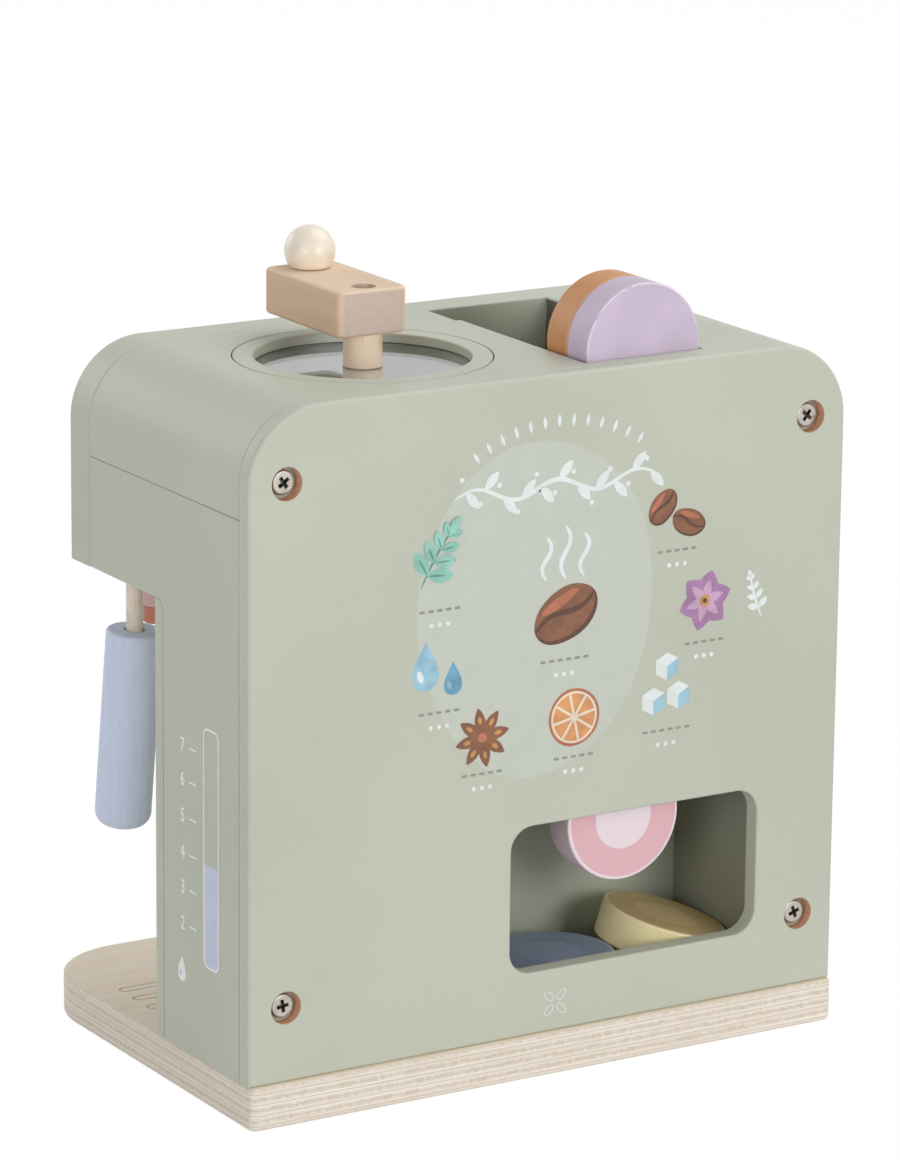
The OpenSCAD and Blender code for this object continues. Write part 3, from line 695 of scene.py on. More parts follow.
# === Panel screws ===
# Four nickel-plated pan-head screws with a cross recess, turned home by hand, so that
# each cross stands at its own angle. They bite into beech dowels behind the panel.

def metal_look(point, pale, dark):
    brushed = noise(point, 1500, 2)
    scuffs = noise(point, 260, 3).between(0.45, 0.75)
    return {"Base Color": scuffs.mix(shade(*pale), shade(*dark)), "Metallic": 0.85,
            "Roughness": 0.34 + brushed * 0.16, "Normal": bump(brushed, 0.3, 0.02)}


steel = finish("nickel_steel", metal_look, (190, 184, 177), (146, 140, 133))
# A near-black steel for the faces inside the cross recess: painted shade in the hollow.
recess_shade = finish("nickel_steel_recess_painted_shade", metal_look, (86, 80, 74), (54, 49, 44))
head_radius, head_height, shank_length = 3.95, 2.0, 20
cross_length, cross_width, recess = 5, 1.4, 1.5


def pan_screw(name, turn):
    """A screw along Z with the underside of its head at the origin, its cross turned by some degrees."""
    screw = upright(name, (0, 0), 0, head_height, head_radius, 48)
    ease(screw, 0.7, 5, at("z", head_height))
    ease(screw, 0.2, 2, at("z", 0))
    shank = upright("shank", (0, 0), -shank_length, 0.2, shank_radius, 24)
    ease(shank, 1.2, 3, at("z", -shank_length))
    for angle in (turn, turn + 90):  # each arm of the cross narrows toward its foot
        arm = block("cross_arm", (-cross_length / 2, -cross_width / 2, head_height - recess),
                    (cross_length / 2, cross_width / 2, head_height + 0.5))
        pick(arm, "FACE", lambda p, n: n.z < -0.9)
        bpy.ops.transform.resize(value=(0.35, 0.6, 1), center_override=(0, 0, (head_height - recess) * MM))
        alone(arm)
        arm.rotation_euler.z = radians(angle)
        bpy.ops.object.transform_apply(rotation=True)
        cut(screw, arm)
    # The faces inside the cross are painted dark, as painted shade.
    cover_faces(screw, steel, recess_shade, lambda p, n: 0 < p.z < head_height - 0.02 and reach(p) < 2.7)
    alone(shank, screw)
    bpy.ops.object.join()
    return screw


panel_screws = []
for number, ((x, z), turn) in enumerate(zip(screw_places, (20, 52, 8, 35)), 1):
    screw = pan_screw(f"panel_screw_{number}", turn)
    screw.rotation_euler.x = -pi / 2
    screw.location = Vector((x, panel_face - bore_depth, z)) * MM
    bpy.ops.object.transform_apply(location=True, rotation=True)
    panel_screws.append(screw)
alone(*panel_screws)
bpy.ops.object.join()
bpy.context.object.name = "panel_screw_set"
settle(bpy.context.object, steel, "steel", "root", "panel_screws")
refinish(steel, "steel", "base_screws", "shaft_washer", "shaft_screw")


# === Grinder ===
# A turned ring of painted board is let into the top cover, flush with it. A disc of
# clear acrylic lies under its lip, over a round well in which beans would turn.

ring_open, shaft_radius = 34.6, 6.25
low, high = corners("grinder_window")
disc_radius = (high.x - low.x) / 2

grinder_ring = upright("grinder_ring_turned", axis, ring_low.z, ring_high.z, ring_radius, 128)
cut(grinder_ring, upright("opening", axis, ring_low.z - 1, ring_high.z + 1, ring_open, 128),
    upright("rebate", axis, ring_low.z - 1, high.z + 0.2, disc_radius + 0.2, 128))
ease(grinder_ring, 0.35, 2, rim(ring_high.z, ring_radius, axis))
ease(grinder_ring, 0.6, 3, rim(ring_high.z, ring_open, axis))
settle(grinder_ring, sage, "sage_paint", "root", "grinder_ring")

acrylic = bpy.data.materials.new("clear_acrylic")
pane = emptied(acrylic)
haze = noise(pane.node("TexCoord", output="Object"), 30, 3).between(0.4, 0.8)
glass = pane.node("BsdfPrincipled", links={
    "Base Color": shade(248, 251, 253), "Roughness": 0.015 + haze * 0.02, "IOR": 1.43,
    "Transmission Weight": 1.0})
clear = pane.node("BsdfTransparent", links={"Color": shade(250, 252, 253)})
shadow_ray = pane.node("LightPath", output="Is Shadow Ray")
pane.node("MixShader", links={0: shadow_ray, 1: glass, 2: clear}).surface("Material")

grinder_disc = upright("acrylic_disc", axis, low.z, high.z, disc_radius, 128)
cut(grinder_disc, upright("shaft_hole", axis, low.z - 1, high.z + 1, shaft_radius + 0.08))
ease(grinder_disc, 0.2, 2, lambda p, d: abs(d.z) < 0.1 and reach(p, axis) > 20)
# The wall of the shaft's hole is painted dark, as painted shade in the gap round the dowel.
hole_wall_shade = finish("acrylic_hole_painted_shade", lambda point: {
    "Base Color": noise(point, 900, 2).mix(shade(58, 55, 50), shade(92, 88, 82)), "Roughness": 0.7})
cover_faces(grinder_disc, acrylic, hole_wall_shade, lambda p, n: (
    abs(n.z) < 0.5 and reach(p, axis) < shaft_radius + 1))
settle(grinder_disc, acrylic, "clear_acrylic", "root", "grinder_window")


# === Crank ===
# A beech dowel turns in the well's floor. The arm, sawn from beech with its edges
# sanded round, is screwed down on it, and a pinned ball of pale turned wood is the
# knob. The ball is lacquered; the arm and the dowel are bare.

arm_low, arm_high = corners("crank_arm")
shaft_low, shaft_high = corners("crank_shaft")
knob_low, knob_high = corners("crank_knob")
knob_radius = (knob_high.x - knob_low.x) / 2
screw_sink, screw_bore = 6.5, 4

shaft = upright("crank_dowel", axis, shaft_low.z, shaft_high.z, shaft_radius)
ease(shaft, 0.8, 3, at("z", shaft_low.z, shaft_high.z))
settle(shaft, lit_beech_z, "beech", "crank", "crank_shaft")

# The arm's faces across X are painted darker, as painted shade on its sides.
arm_wood = finish("arm_beech", wood_look, (244, 221, 196), (234, 207, 178), (0, 1, 0), 0.55, 1.0)
arm = block("crank_arm_sanded", arm_low, arm_high)
ease(arm, 4, 8, runs("z"))
ease(arm, 1.2, 4, at("z", arm_low.z, arm_high.z))
cut(arm, upright("socket", axis, arm_low.z - 1, shaft_high.z, shaft_radius),
    upright("screw_hole", axis, arm_high.z - screw_sink, arm_high.z + 1, screw_bore, 48),
    upright("screw_core", axis, arm_low.z, arm_high.z, shank_radius, 24))
ease(arm, 0.35, 2, rim(arm_high.z, screw_bore, axis))
settle(arm, arm_wood, "beech", "crank", "crank_arm")
refinish(lit_beech_z, "beech", "knob_pin")

arm_screw = pan_screw("crank_arm_screw", 12)
alone(arm_screw)
arm_screw.location = Vector((*axis, arm_high.z - screw_sink)) * MM
bpy.ops.object.transform_apply(location=True)
settle(arm_screw, steel, "steel", "crank", "crank_screw")


def lacquer_look(point):
    grain = noise(stretch(point, (260, 260, 30)), 1, 3)
    return {"Base Color": grain.between(0.2, 0.8).mix(shade(248, 235, 216), shade(253, 243, 227)),
            "Roughness": 0.36, "Coat Weight": 0.35, "Coat Roughness": 0.2,
            "Normal": bump(grain, 0.08, 0.03)}


alone()
knob_middle = (knob_low + knob_high) / 2
knob_middle.z = knob_high.z - knob_radius
bpy.ops.mesh.primitive_uv_sphere_add(segments=64, ring_count=48, radius=knob_radius * MM,
                                     location=knob_middle * MM)
knob = named("ball_knob")
knob_foot = knob_low.z + 0.15
whole(knob)
bpy.ops.mesh.bisect(plane_co=(0, 0, knob_foot * MM), plane_no=(0, 0, -1), clear_outer=True, use_fill=True)
bpy.ops.object.mode_set(mode="OBJECT")
ease(knob, 0.5, 3, at("z", knob_foot))
settle(knob, finish("lacquered_maple", lacquer_look), "maple", "crank", "crank_knob")


# === Rope of the steam wand ===
# A short length of braided cotton cord, 5.6 mm thick. It is knotted above the head's
# floor, comes down through a hole there, and is glued into the bore of the wand, so
# it leaves the hole plumb and bends just below it.

rope_radius = 2.8
rope_route = [[0, 0, 0], [0, 0, -8], [0, 0, -16], [0, -0.1, -20], [0.3, -0.5, -26], [0.6, -0.9, -33]]
rope_exit = Vector((0, 0, 4))
rope_end = Vector((0, 0, corners("rope_top")[1].z - pivot.z))


def along_route(points, spacing):
    """Points at an even spacing on a smooth curve through the route's points."""
    knots = [Vector(p) for p in points]
    line = []
    for i in range(len(knots) - 1):
        before = knots[max(i - 1, 0)]
        after = knots[min(i + 2, len(knots) - 1)]
        start, end = knots[i], knots[i + 1]
        steps = max(2, round((end - start).length / spacing))
        for step in range(steps):
            t = step / steps
            line.append(0.5 * (2 * start + (end - before) * t
                               + (2 * before - 5 * start + 4 * end - after) * t * t
                               + (3 * start - before - 3 * end + after) * t ** 3))
    return line + [knots[-1]]


def braided(name, line, sides=48, carriers=6, lay=1.9):
    """A braided cord along a line of points: a ring of corners, extruded from point to point."""
    alone()
    bpy.ops.mesh.primitive_circle_add(vertices=sides, radius=rope_radius * MM, fill_type="NGON",
                                      location=(pivot + line[0]) * MM)
    rope = named(name)
    bpy.ops.object.mode_set(mode="EDIT")
    bpy.ops.mesh.select_mode(type="FACE")
    bpy.ops.mesh.select_all(action="SELECT")
    for before, after in zip(line, line[1:]):
        bpy.ops.mesh.extrude_region_move(TRANSFORM_OT_translate={"value": (after - before) * MM})
    face_out()
    for corner in rope.data.vertices:
        here = corner.co / MM - pivot
        middle = min(line, key=lambda p: abs(p.z - here.z))
        out = here - middle
        angle = atan2(out.y, out.x)
        weave = (cos(carriers * angle + here.z / lay * pi)
                 * cos(carriers * angle - here.z / lay * pi))
        fluff = random.uniform(-0.016, 0.016)
        corner.co = (pivot + middle + out * (0.95 + 0.045 * weave + fluff)) * MM
    return rope


def cotton_look(point):
    fibre = noise(stretch(point, (1600, 1600, 700)), 1, 3, 0.7)
    strand = noise(point, 380, 2)
    body = (fibre * 0.5 + strand * 0.5).between(0.3, 0.7).mix(shade(240, 226, 206), shade(255, 250, 238))
    return {"Base Color": body, "Roughness": 0.92, "Sheen Weight": 0.25, "Sheen Roughness": 0.5,
            "Normal": bump(fibre, 0.8, 0.25)}


cotton = finish("braided_cotton", cotton_look)
random.seed(7)
rope_line = along_route([rope_exit] + rope_route, 0.35)
rope = braided("wand_cord", rope_line)
alone(rope)
bpy.ops.object.shade_smooth()
rope.data.materials.append(cotton)
rope_length = sum((b - a).length for a, b in zip(rope_line, rope_line[1:])) * MM
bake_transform(rope)
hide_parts("wand_rope")
[(pivot + p) * MM for p in rope_line]

stub = braided("cord_in_floor", along_route([rope_end, rope_exit], 0.5))
settle(stub, cotton, "rope", "rope_anchor", "rope_top")

knot_z = sum(corner.z for corner in corners("rope_knot")) / 2
alone()
bpy.ops.mesh.primitive_torus_add(major_segments=48, minor_segments=20, major_radius=3.4 * MM,
                                 minor_radius=1.5 * MM, location=Vector((pivot.x, pivot.y, knot_z)) * MM)
knot = named("cord_knot")
for corner in knot.data.vertices:
    here = corner.co / MM - pivot
    corner.co.z += 1.6 * sin(2 * atan2(here.y, here.x)) * MM
settle(knot, cotton, "rope", "rope_anchor", "rope_knot")


# === Steam wand ===
# A turned stick of soft wood, stained pale blue so that its grain still shows. Its
# foot is well rounded, its upper edge only eased, and the cord is glued in its bore.

def stain_look(point):
    grain = noise(stretch(point, (420, 420, 16)), 1, 4, 0.62)
    bands = noise(stretch(point, (90, 90, 4)), 1, 2)
    pores = noise(stretch(point, (1500, 1500, 70)), 1, 1).between(0.60, 0.70)
    body = (grain * 0.65 + bands * 0.35).between(0.3, 0.7).mix(shade(215, 226, 253), shade(223, 233, 255))
    body = (pores * 0.15).mix(body, shade(178, 190, 216))
    return {"Base Color": body, "Roughness": 0.62 + grain * 0.12,
            "Normal": bump(grain - pores * 0.4, 0.5, 0.09)}


wand_radius, wand_length, wand_bore, bore_length = 9.2, 66.5, 3.5, 16
wand_mouth = Vector((97, -25.5, 137.5))
lean_front, lean_side = 3.7, 2.3

wand = upright("wand_turned", (0, 0), -wand_length, 0, wand_radius, 96)
ease(wand, 5, 10, at("z", -wand_length))
ease(wand, 1.3, 4, at("z", 0))
cut(wand, upright("bore", (0, 0), -bore_length, 1, wand_bore, 48))
ease(wand, 0.4, 2, rim(0, wand_bore))
alone(wand)
wand.matrix_world = (Matrix.Translation(wand_mouth * MM)
                     @ Euler((radians(-lean_front), radians(-lean_side), 0)).to_matrix().to_4x4())
bpy.ops.object.transform_apply(location=True, rotation=True)
settle(wand, finish("blue_stain", stain_look), "blue_paint", "wand", "wand_handle")


# === Spout and selector ===
# Small pieces, dipped in colour: the spout's round-ended block and its turned nozzle are
# glued under the head; the selector knob is glued on a dowel in the front panel.

rose = finish("rose_paint", paint_look, (206, 170, 170), 0.5)
terracotta = finish("terracotta_paint", paint_look, (190, 118, 98), 0.5)

low, high = corners("spout_block")
spout = block("spout_board", low, high)
ease(spout, (high.y - low.y) / 2 - 0.01, 16, runs("z"))
ease(spout, 0.5, 3, at("z", low.z, high.z))
settle(spout, rose, "rose_paint", "root", "spout_block")

low, high = corners("spout_nozzle")
middle = (low + high) / 2
nozzle = upright("nozzle_turned", middle, low.z, high.z, (high.x - low.x) / 2)
ease(nozzle, 0.3, 3, at("z", high.z))
ease(nozzle, 0.7, 4, at("z", low.z))
cut(nozzle, upright("outlet", middle, low.z - 1, high.z - 2, 2, 32))
settle(nozzle, terracotta, "terracotta_paint", "root", "spout_nozzle")

low, high = corners("selector_knob")
dial = rod("selector_turned", (0, high.y, dial_z), (0, low.y, dial_z), (high.x - low.x) / 2, 96)
ease(dial, 2.2, 6, at("y", low.y))
ease(dial, 0.4, 2, at("y", high.y))
pointer_width, pointer_depth, socket_depth, socket_radius = 1.6, 0.9, 7, 5
cut(dial, block("pointer", (-pointer_width / 2, low.y - 1, dial_z + 5),
                (pointer_width / 2, low.y + pointer_depth, dial_z + 15)),
    rod("socket", (0, high.y - socket_depth, dial_z), (0, high.y + 1, dial_z), socket_radius, 48))
settle(dial, rose, "rose_paint", "selector", "selector_knob")
refinish(beech_y, "beech", "selector_shaft", "selector_collar")


# === Coffee pods ===
# Five play pods, each a slice of turned wood with eased rims, painted in its own
# colour all round. The printed face has a ring with a row of dots and a paler middle,
# and the back has a blind hole that fits the peg in the compartment.

pod_radius, pod_height, pod_hole, hole_depth = 21.2, 12, 3.6, 6
ring_outer, ring_inner = 20.0, 10.6  # the printed ring
dot_ring, dot_radius, dot_step, dot_spread = 16.1, 0.62, 13, 62  # its dots, with angles in degrees


def pod_look(point, side, rim, ring, middle, place):
    """Paint on a pod: its print is laid out round the face's centre, and turns with its place."""
    local = stretch(point, (1, 1, 1), tuple(-c * MM for c in place.to_translation()))
    turn = tuple(place.to_quaternion().inverted().to_euler())
    u, v, w = axes(stretch(local, (1000, 1000, 1000), (0, 0, 0), turn))
    from_centre = (u * u + v * v).math("SQRT", u * u + v * v)
    tooth = noise(point, 1400, 3, 0.6)
    clouds = noise(point, 60, 3).between(0.3, 0.7)
    body = clouds.mix(toned(side, 0.97), toned(side, 1.02))
    if ring:
        face = w > pod_height - 0.3
        angle = u.math("ARCTAN2", u, v * -1)
        offset = angle.math("PINGPONG", angle, radians(dot_step) / 2) * dot_ring
        outward = from_centre - dot_ring
        dot = (offset * offset + outward * outward) < dot_radius ** 2
        dots = dot * (abs(angle) < radians(dot_spread))
        print_tone = (from_centre < ring_outer).mix(shade(*rim), shade(*ring))
        print_tone = dots.mix(print_tone, shade(*rim))
        print_tone = (from_centre < ring_inner).mix(print_tone, shade(*middle))
        body = face.mix(body, print_tone)
    # Along the edge of the face the rim colour lies in broken patches.
    corner = (from_centre + w).between(pod_radius + pod_height - 0.80, pod_radius + pod_height - 0.55)
    edge_patches = noise(point, 300, 3).between(0.32, 0.55)
    body = (corner * edge_patches * 0.8).mix(body, shade(*rim))
    return {"Base Color": body, "Roughness": 0.48 + (tooth - 0.5) * 0.2,
            "Normal": bump(tooth, 0.5, 0.02)}


def pod(colour, place, *paints):
    """A pod on its back at the origin, then moved to its place by a matrix in millimetres."""
    piece = upright(colour + "_pod", (0, 0), 0, pod_height, pod_radius, 96)
    ease(piece, 0.8, 3, lambda p, d: abs(d.z) < 0.1)
    cut(piece, upright("peg_hole", (0, 0), -1, hole_depth, pod_hole, 48))
    ease(piece, 0.3, 2, rim(0, pod_hole))
    alone(piece)
    piece.matrix_world = Matrix.Scale(MM, 4) @ place @ Matrix.Scale(1 / MM, 4)
    bpy.ops.object.transform_apply(location=True, rotation=True, scale=True)
    look = finish(colour + "_pod_paint", pod_look, *paints, place)
    settle(piece, look, colour + "_paint", colour, "pod_" + colour)


def on_edge(node):
    """Where a pod stands on its edge, its face to the rear."""
    low, high = corners(node)
    return (Matrix.Translation(((low.x + high.x) / 2, low.y, (low.z + high.z) / 2))
            @ Matrix.Rotation(-pi / 2, 4, "X"))


lean, yaw = radians(16), radians(20)
yellow_low, yellow_high = corners("pod_yellow")
lean_x, lean_y = sin(lean) * cos(yaw), sin(lean) * sin(yaw)
yellow_place = (Matrix.Translation((
    yellow_low.x + pod_radius * sqrt(1 - lean_x ** 2) + pod_height * lean_x,
    yellow_high.y - pod_radius * sqrt(1 - lean_y ** 2) - pod_height * lean_y,
    yellow_low.z + pod_radius * sin(lean)))
    @ Matrix.Rotation(-yaw, 4, "Z") @ Matrix.Rotation(-lean, 4, "Y"))
navy_low, navy_high = corners("pod_navy")
navy_place = Matrix.Translation((*((navy_low + navy_high) / 2).xy, navy_low.z))

# Colours of the side, the rim, the printed ring and its middle. The lilac pod is plain.
pod("lilac", on_edge("pod_lilac"), (213, 195, 219), (240, 230, 244), None, None)
pod("tan", on_edge("pod_tan"), (208, 146, 92), (226, 186, 150), (199, 138, 88), (214, 172, 138))
pod("pink", on_edge("pod_pink"), (252, 226, 238), (255, 240, 248), (242, 193, 203), (253, 236, 245))
pod("yellow", yellow_place, (255, 238, 184), (248, 234, 190), (228, 200, 142), (242, 218, 162))
pod("navy", navy_place, (160, 175, 210), (190, 203, 226), (153, 169, 203), (168, 183, 216))


# === Prints ===
# Screen prints on the paint: on the rear panel a still life of things for coffee and
# tea round one big bean, on a pale wash, and on the right side the tank's level scale
# with its numbers. Each coat of ink is a few hundredths of a millimetre thick.

coat, first_coat = 0.03, -0.01
side_face = corners("side_board_right")[1].x
faces = {"rear": (Euler((pi / 2, 0, pi)), Vector((0, panel_face, 0))),
         "side": (Euler((pi / 2, 0, pi / 2)), Vector((side_face, 0, 0)))}


def ink_look(point, colour, wash):
    cloud = noise(point, 150, 3).between(0.3, 0.7)
    grain = noise(point, 1100, 2)
    body = cloud.mix(toned(colour, 1 - wash), toned(colour, 1 + wash * 0.6))
    return {"Base Color": body, "Roughness": 0.40 + grain * 0.12, "Normal": bump(grain, 0.25, 0.012)}


# The bright ink is the white ink made lighter as painted light, for the prints on the shaded side.
inks = {name: finish("ink_" + name, ink_look, colour, wash) for name, colour, wash in (
    ("wash", (202, 207, 196), 0.010), ("white", (236, 242, 242), 0.02), ("line", (228, 235, 233), 0.02),
    ("grey", (150, 152, 142), 0.03), ("brown", (138, 92, 66), 0.10), ("umber", (92, 60, 46), 0.08),
    ("caramel", (206, 150, 92), 0.10), ("cream", (240, 228, 206), 0.04), ("rust", (190, 116, 88), 0.08),
    ("amber", (226, 158, 104), 0.08), ("mint", (150, 206, 190), 0.08), ("pine", (104, 160, 146), 0.08),
    ("sky", (158, 202, 222), 0.08), ("deep_sky", (112, 166, 196), 0.08), ("mauve", (172, 126, 170), 0.08),
    ("lilac", (206, 168, 198), 0.06), ("bright", (252, 255, 255), 0.01), ("tank", (205, 216, 237), 0.02))}


def turned(u, v, turn, x, y=0.0):
    """Where a motif's point x, y comes when it stands at u, v and is turned by some degrees."""
    turn = radians(turn)
    return u + x * cos(turn) - y * sin(turn), v + x * sin(turn) + y * cos(turn)


def oval(u, v, wide, tall=None, turn=0.0, wobble=0.0):
    """An ellipse's outline. Wobble makes it as uneven as a mark of a brush."""
    outline = []
    for i in range(56):
        a = i * tau / 56
        swell = 1 + wobble * (sin(3 * a + u) + 0.6 * sin(5 * a + v))
        outline.append(turned(u, v, turn, wide / 2 * swell * cos(a),
                              (tall or wide) / 2 * swell * sin(a)))
    return outline


def leaf(u, v, length, width, turn, tip=1.0):
    """A pointed leaf that grows from a point. With a blunt tip it is a petal."""
    edge = [(t / 12, 1) for t in range(13)] + [(t / 12, -1) for t in range(11, 0, -1)]
    return [turned(u, v, turn, length * t, side * width / 2 * sin(pi * t ** tip) ** 0.8)
            for t, side in edge]


def stroke(points, width, ends=0.3):
    """A stroke of a brush along a line, thinner at both ends."""
    left, right = [], []
    for i, (u, v) in enumerate(points):
        before, after = points[max(i - 1, 0)], points[min(i + 1, len(points) - 1)]
        du, dv = after[0] - before[0], after[1] - before[1]
        length = hypot(du, dv)
        half = width / 2 * (ends + (1 - ends) * sin(pi * i / (len(points) - 1)) ** 0.5)
        left.append((u - dv / length * half, v + du / length * half))
        right.append((u + dv / length * half, v - du / length * half))
    return left + right[::-1]


def wave(u, v, length, sway, turn, bends=1.0, steps=20):
    """Points on a swaying line that starts at u, v."""
    return [turned(u, v, turn, length * t, sway * sin(tau * bends * t))
            for t in (i / steps for i in range(steps + 1))]


def rounded(u, v, wide, tall, radius):
    """A rectangle with round corners, from its low left corner."""
    left, right, foot, top = u + radius, u + wide - radius, v + radius, v + tall - radius
    outline = []
    for corner, (x, y) in enumerate(((right, top), (left, top), (left, foot), (right, foot))):
        outline += [turned(x, y, 90 * (corner + i / 6), radius) for i in range(7)]
    return outline


def bean(u, v, size, turn):
    start = turned(u, v, turn, -size * 0.5)
    return [("umber", oval(u + size * 0.02, v - size * 0.03, size, size * 0.68, turn, 0.012)),
            ("brown", oval(u, v, size * 0.96, size * 0.62, turn, 0.01)),
            ("rust", oval(*turned(u, v, turn, 0, size * 0.16), size * 0.6, size * 0.14, turn)),
            ("umber", stroke(wave(*start, size, size * 0.07, turn), size * 0.075, 0.2))]


def sprig(u, v, length, turn, stem, leaves, size, veins=None):
    marks = [(stem, stroke(wave(u, v, length, length * 0.03, turn, 0.5), 0.9))]
    for i, side in ((i, side) for i in range(4) for side in (1, -1)):
        root = turned(u, v, turn, length * (0.22 + 0.22 * i))
        long = size * (1.05 - 0.16 * i)
        marks.append((leaves, leaf(*root, long, long * 0.52, turn + side * (62 - 6 * i))))
        if veins:
            marks.append((veins, leaf(*root, long * 0.7, long * 0.08, turn + side * (62 - 6 * i))))
    return marks + [(leaves, leaf(*turned(u, v, turn, length * 0.93), size * 0.7, size * 0.36, turn))]


def drop(u, v, size, fill, light):
    outline = [(u + size * 0.42 * sin(a) * sin(a / 2) ** 1.4, v + size * 0.5 * cos(a))
               for a in (i * tau / 40 for i in range(40))]
    return [(fill, outline), (light, oval(u - size * 0.12, v - size * 0.2, size * 0.13, size * 0.26, 20))]


def star(u, v, size):
    marks = [("brown", leaf(u, v, size / 2, size * 0.2, turn)) for turn in range(10, 370, 45)]
    marks += [("caramel", oval(*turned(u, v, turn, size * 0.29), size * 0.13, size * 0.07, turn))
              for turn in range(10, 370, 45)]
    return marks + [("rust", oval(u, v, size * 0.16))]


def slice_of_orange(u, v, size):
    marks = [("rust", oval(u, v, size, size, 0, 0.008)), ("cream", oval(u, v, size * 0.9)),
             ("amber", oval(u, v, size * 0.82))]
    for turn in range(12, 372, 45):
        marks.append(("cream", stroke([turned(u, v, turn, size * t) for t in (0.02, 0.2, 0.41)],
                                      size * 0.045, 1)))
    return marks + [("cream", oval(u, v, size * 0.12))]


def flower(u, v, size):
    return [(ink, leaf(u, v, size * length, size * width, turn, 0.75))
            for ink, length, width in (("mauve", 0.5, 0.42), ("lilac", 0.36, 0.16))
            for turn in range(15, 375, 60)] + [("caramel", oval(u, v, size * 0.2)),
                                               ("umber", oval(u, v, size * 0.08))]


def cube(u, v, size):
    w, h = size * 0.5, size * 0.27
    return [("white", [(u, v + h * 2), (u - w, v + h), (u, v), (u + w, v + h)]),
            ("line", [(u - w, v + h), (u - w, v - h), (u, v - 2 * h), (u, v)]),
            ("sky", [(u + w, v + h), (u, v), (u, v - 2 * h), (u + w, v - h)])]


def caption(u, v, wide):
    """Where a menu would be lettered: a row of grey dashes over a short row of white ones."""
    dashes = [rounded(u - wide / 2 + 3.2 * i + 0.5, v, 2.1, 0.9, 0.44) for i in range(round(wide / 3.2))]
    return [("grey", *dashes), ("white", *(oval(u - 3 + 3 * i, v - 4.2, 1.5) for i in range(3)))]


def inked(flat, ink, face, rise):
    """Gives a flat mark its ink, and lays it on its face, some coats up."""
    turn, place = faces[face]
    alone(flat)
    bpy.ops.object.convert(target="MESH")
    flat.rotation_euler = turn
    flat.location = (place + turn.to_matrix() @ Vector((0, 0, first_coat + coat * (rise + 0.5)))) * MM
    bpy.ops.object.transform_apply(location=True, rotation=True, scale=True)
    whole(flat)
    bpy.ops.mesh.remove_doubles(threshold=0.001 * MM)
    face_out()
    flat.data.materials.clear()
    flat.data.materials.append(inks[ink])
    return flat


def drawn(outlines):
    """Flat marks as one curve. An outline inside another is a hole."""
    alone()
    bpy.ops.curve.primitive_bezier_circle_add()
    flat = bpy.context.object
    flat.data.dimensions = "2D"
    flat.data.fill_mode = "BOTH"
    flat.data.extrude = coat / 2 * MM
    flat.data.splines.clear()
    for outline in outlines:
        line = flat.data.splines.new("POLY")
        line.points.add(len(outline) - 1)
        for corner, (u, v) in zip(line.points, outline):
            corner.co = (u * MM, v * MM, 0, 1)
        line.use_cyclic_u = True
    return flat


def printed(face, *motifs):
    """Lays motifs on a face. In each, a new ink lies a coat above the last, a new mark a little higher."""
    sheets = {}
    for motif in motifs:
        level, count, last = 1, 0, None
        for ink, *outlines in motif:
            if last is not None:
                level, count = (level, count + 1) if ink == last else (level + 1, 0)
            last = ink
            sheets.setdefault((ink, level * (ink != "wash") + count % 9 * 0.1), []).extend(outlines)
    return [inked(drawn(outlines), ink, face, rise) for (ink, rise), outlines in sheets.items()]


def joined(name, plates):
    alone(*plates)
    bpy.ops.object.join()
    bpy.context.object.name = name
    settle(bpy.context.object, inks["white"], None, "root")


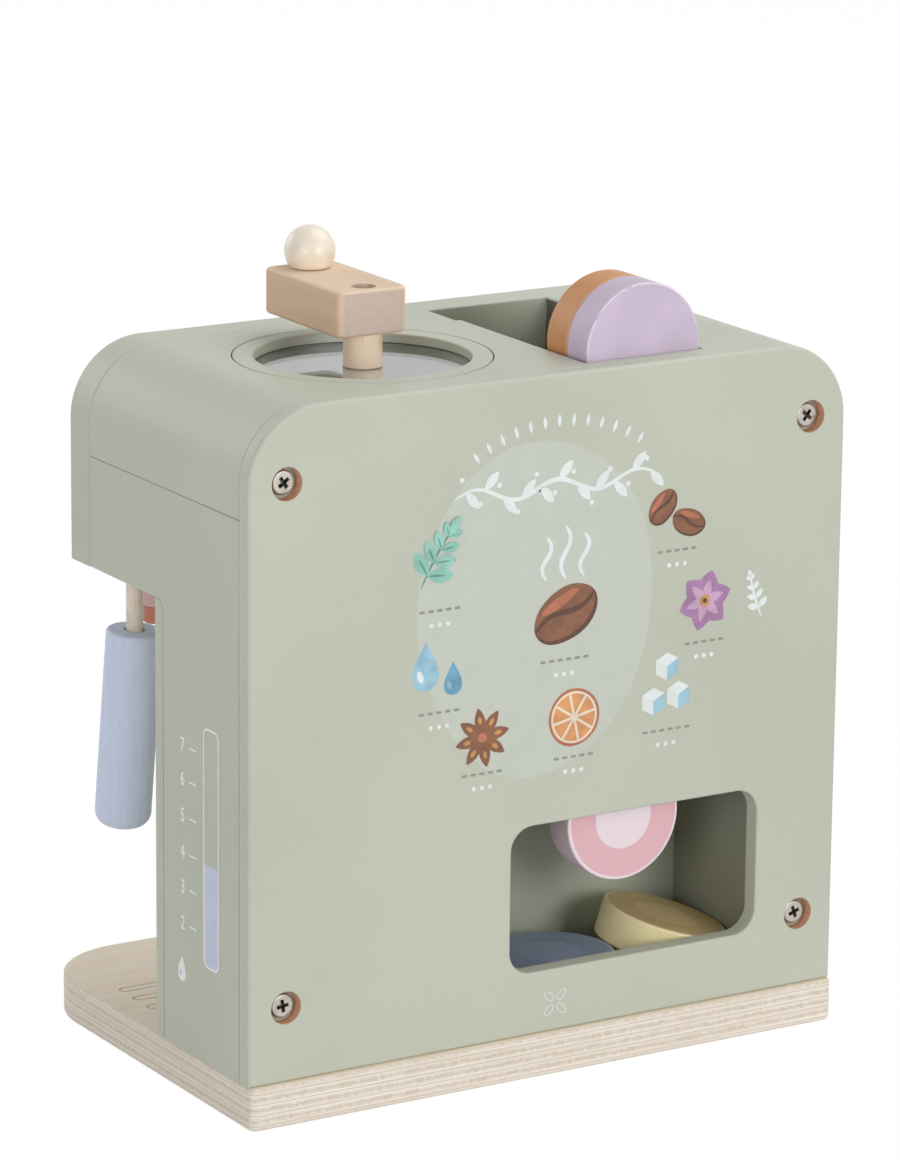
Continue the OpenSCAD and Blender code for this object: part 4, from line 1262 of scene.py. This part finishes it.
vine = [("white", stroke(wave(-37, 194, 75, 2.4, 0, 2.5, 60), 1.5))]
for i in range(11):
    t = (i + 0.6) / 11
    root = (-37 + 75 * t, 194 + 2.4 * sin(tau * 2.5 * t))
    vine.append(("white", leaf(*root, 7.5, 3.1, 48 if i % 2 else -48)))
    vine.append(("white", oval(root[0] - 1.5, root[1] + (-4.2 if i % 2 else 4.2), 1.7)))
arc = [("white", *(leaf(*turned(1, 158, turn, 55), 4.2, 1.3, turn)
                   for turn in (122 - 64 * i / 12 for i in range(13))))]
steam = [("white", stroke(wave(x, 164, 14 + 3 * (x == 4), 1.7, 90, 1), 1.6)) for x in (-3, 4, 11)]
petals = [(2.5 + 2.3 * x, 23.7 + 2.3 * z, 45 * x * z) for x in (-1, 1) for z in (-1, 1)]
flower_mark = [("line", oval(u, v, 4.4, 2.6, turn), oval(u, v, 3.7, 1.9, turn)) for u, v, turn in petals]
joined("rear_print", printed(
    "rear",
    [("wash", oval(-6.5, 155.5, 87, 109, 0, 0.012))],
    vine, arc, steam, bean(4, 153, 25, 28), caption(4, 137, 19),
    sprig(-49, 167, 21, 58, "pine", "mint", 9, "pine"), caption(-42, 159, 16),
    drop(-47, 142, 16, "sky", "white"), drop(-37, 137, 11, "deep_sky", "sky"), caption(-42, 126, 16),
    star(-26, 116, 20), caption(-26, 103.8, 16),
    slice_of_orange(8, 118, 19), caption(8, 104.6, 16),
    cube(38, 119, 8.5), cube(47.5, 120, 8.5), cube(43, 130, 8.5), caption(43, 108.5, 19),
    flower(57, 150, 20), caption(57, 136, 16),
    bean(40, 183, 13, 50), bean(50, 177, 13, -20), caption(46, 167.5, 16),
    sprig(79, 142, 15, 108, "white", "white", 4.2), flower_mark))

number_heights = (56.4, 68.3, 79.9, 91.9, 103.8, 114.9)
scale_marks = [("bright", *(rounded(35, z - 0.28, 4.6, 0.56, 0.26) for z in number_heights))]
level = 79.8
tank = [("tank", [(u, min(v, level)) for u, v in rounded(44.65, 46.35, 9.4, 60, 2.6)]),
        ("bright", rounded(44.3, 46, 10.1, 78.4, 3), rounded(45, 46.7, 8.7, 77, 2.3))]
plates = printed("side", scale_marks, tank, drop(30, 41.3, 8.5, "bright", "tank"))
for number, z in zip("234567", number_heights):
    alone()
    bpy.ops.object.text_add()
    digit = bpy.context.object
    for name, value in {"body": number, "size": 6.4 * MM, "extrude": coat / 2 * MM, "offset": 0.1 * MM,
                        "align_x": "CENTER", "align_y": "CENTER"}.items():
        setattr(digit.data, name, value)
    alone(digit)
    bpy.ops.object.convert(target="MESH")
    digit.location = (30.7 * MM, z * MM, 0)
    digit.scale.x = 0.85
    bpy.ops.object.transform_apply(location=True, scale=True)
    plates.append(inked(digit, "bright", "side", 1))
joined("level_scale", plates)
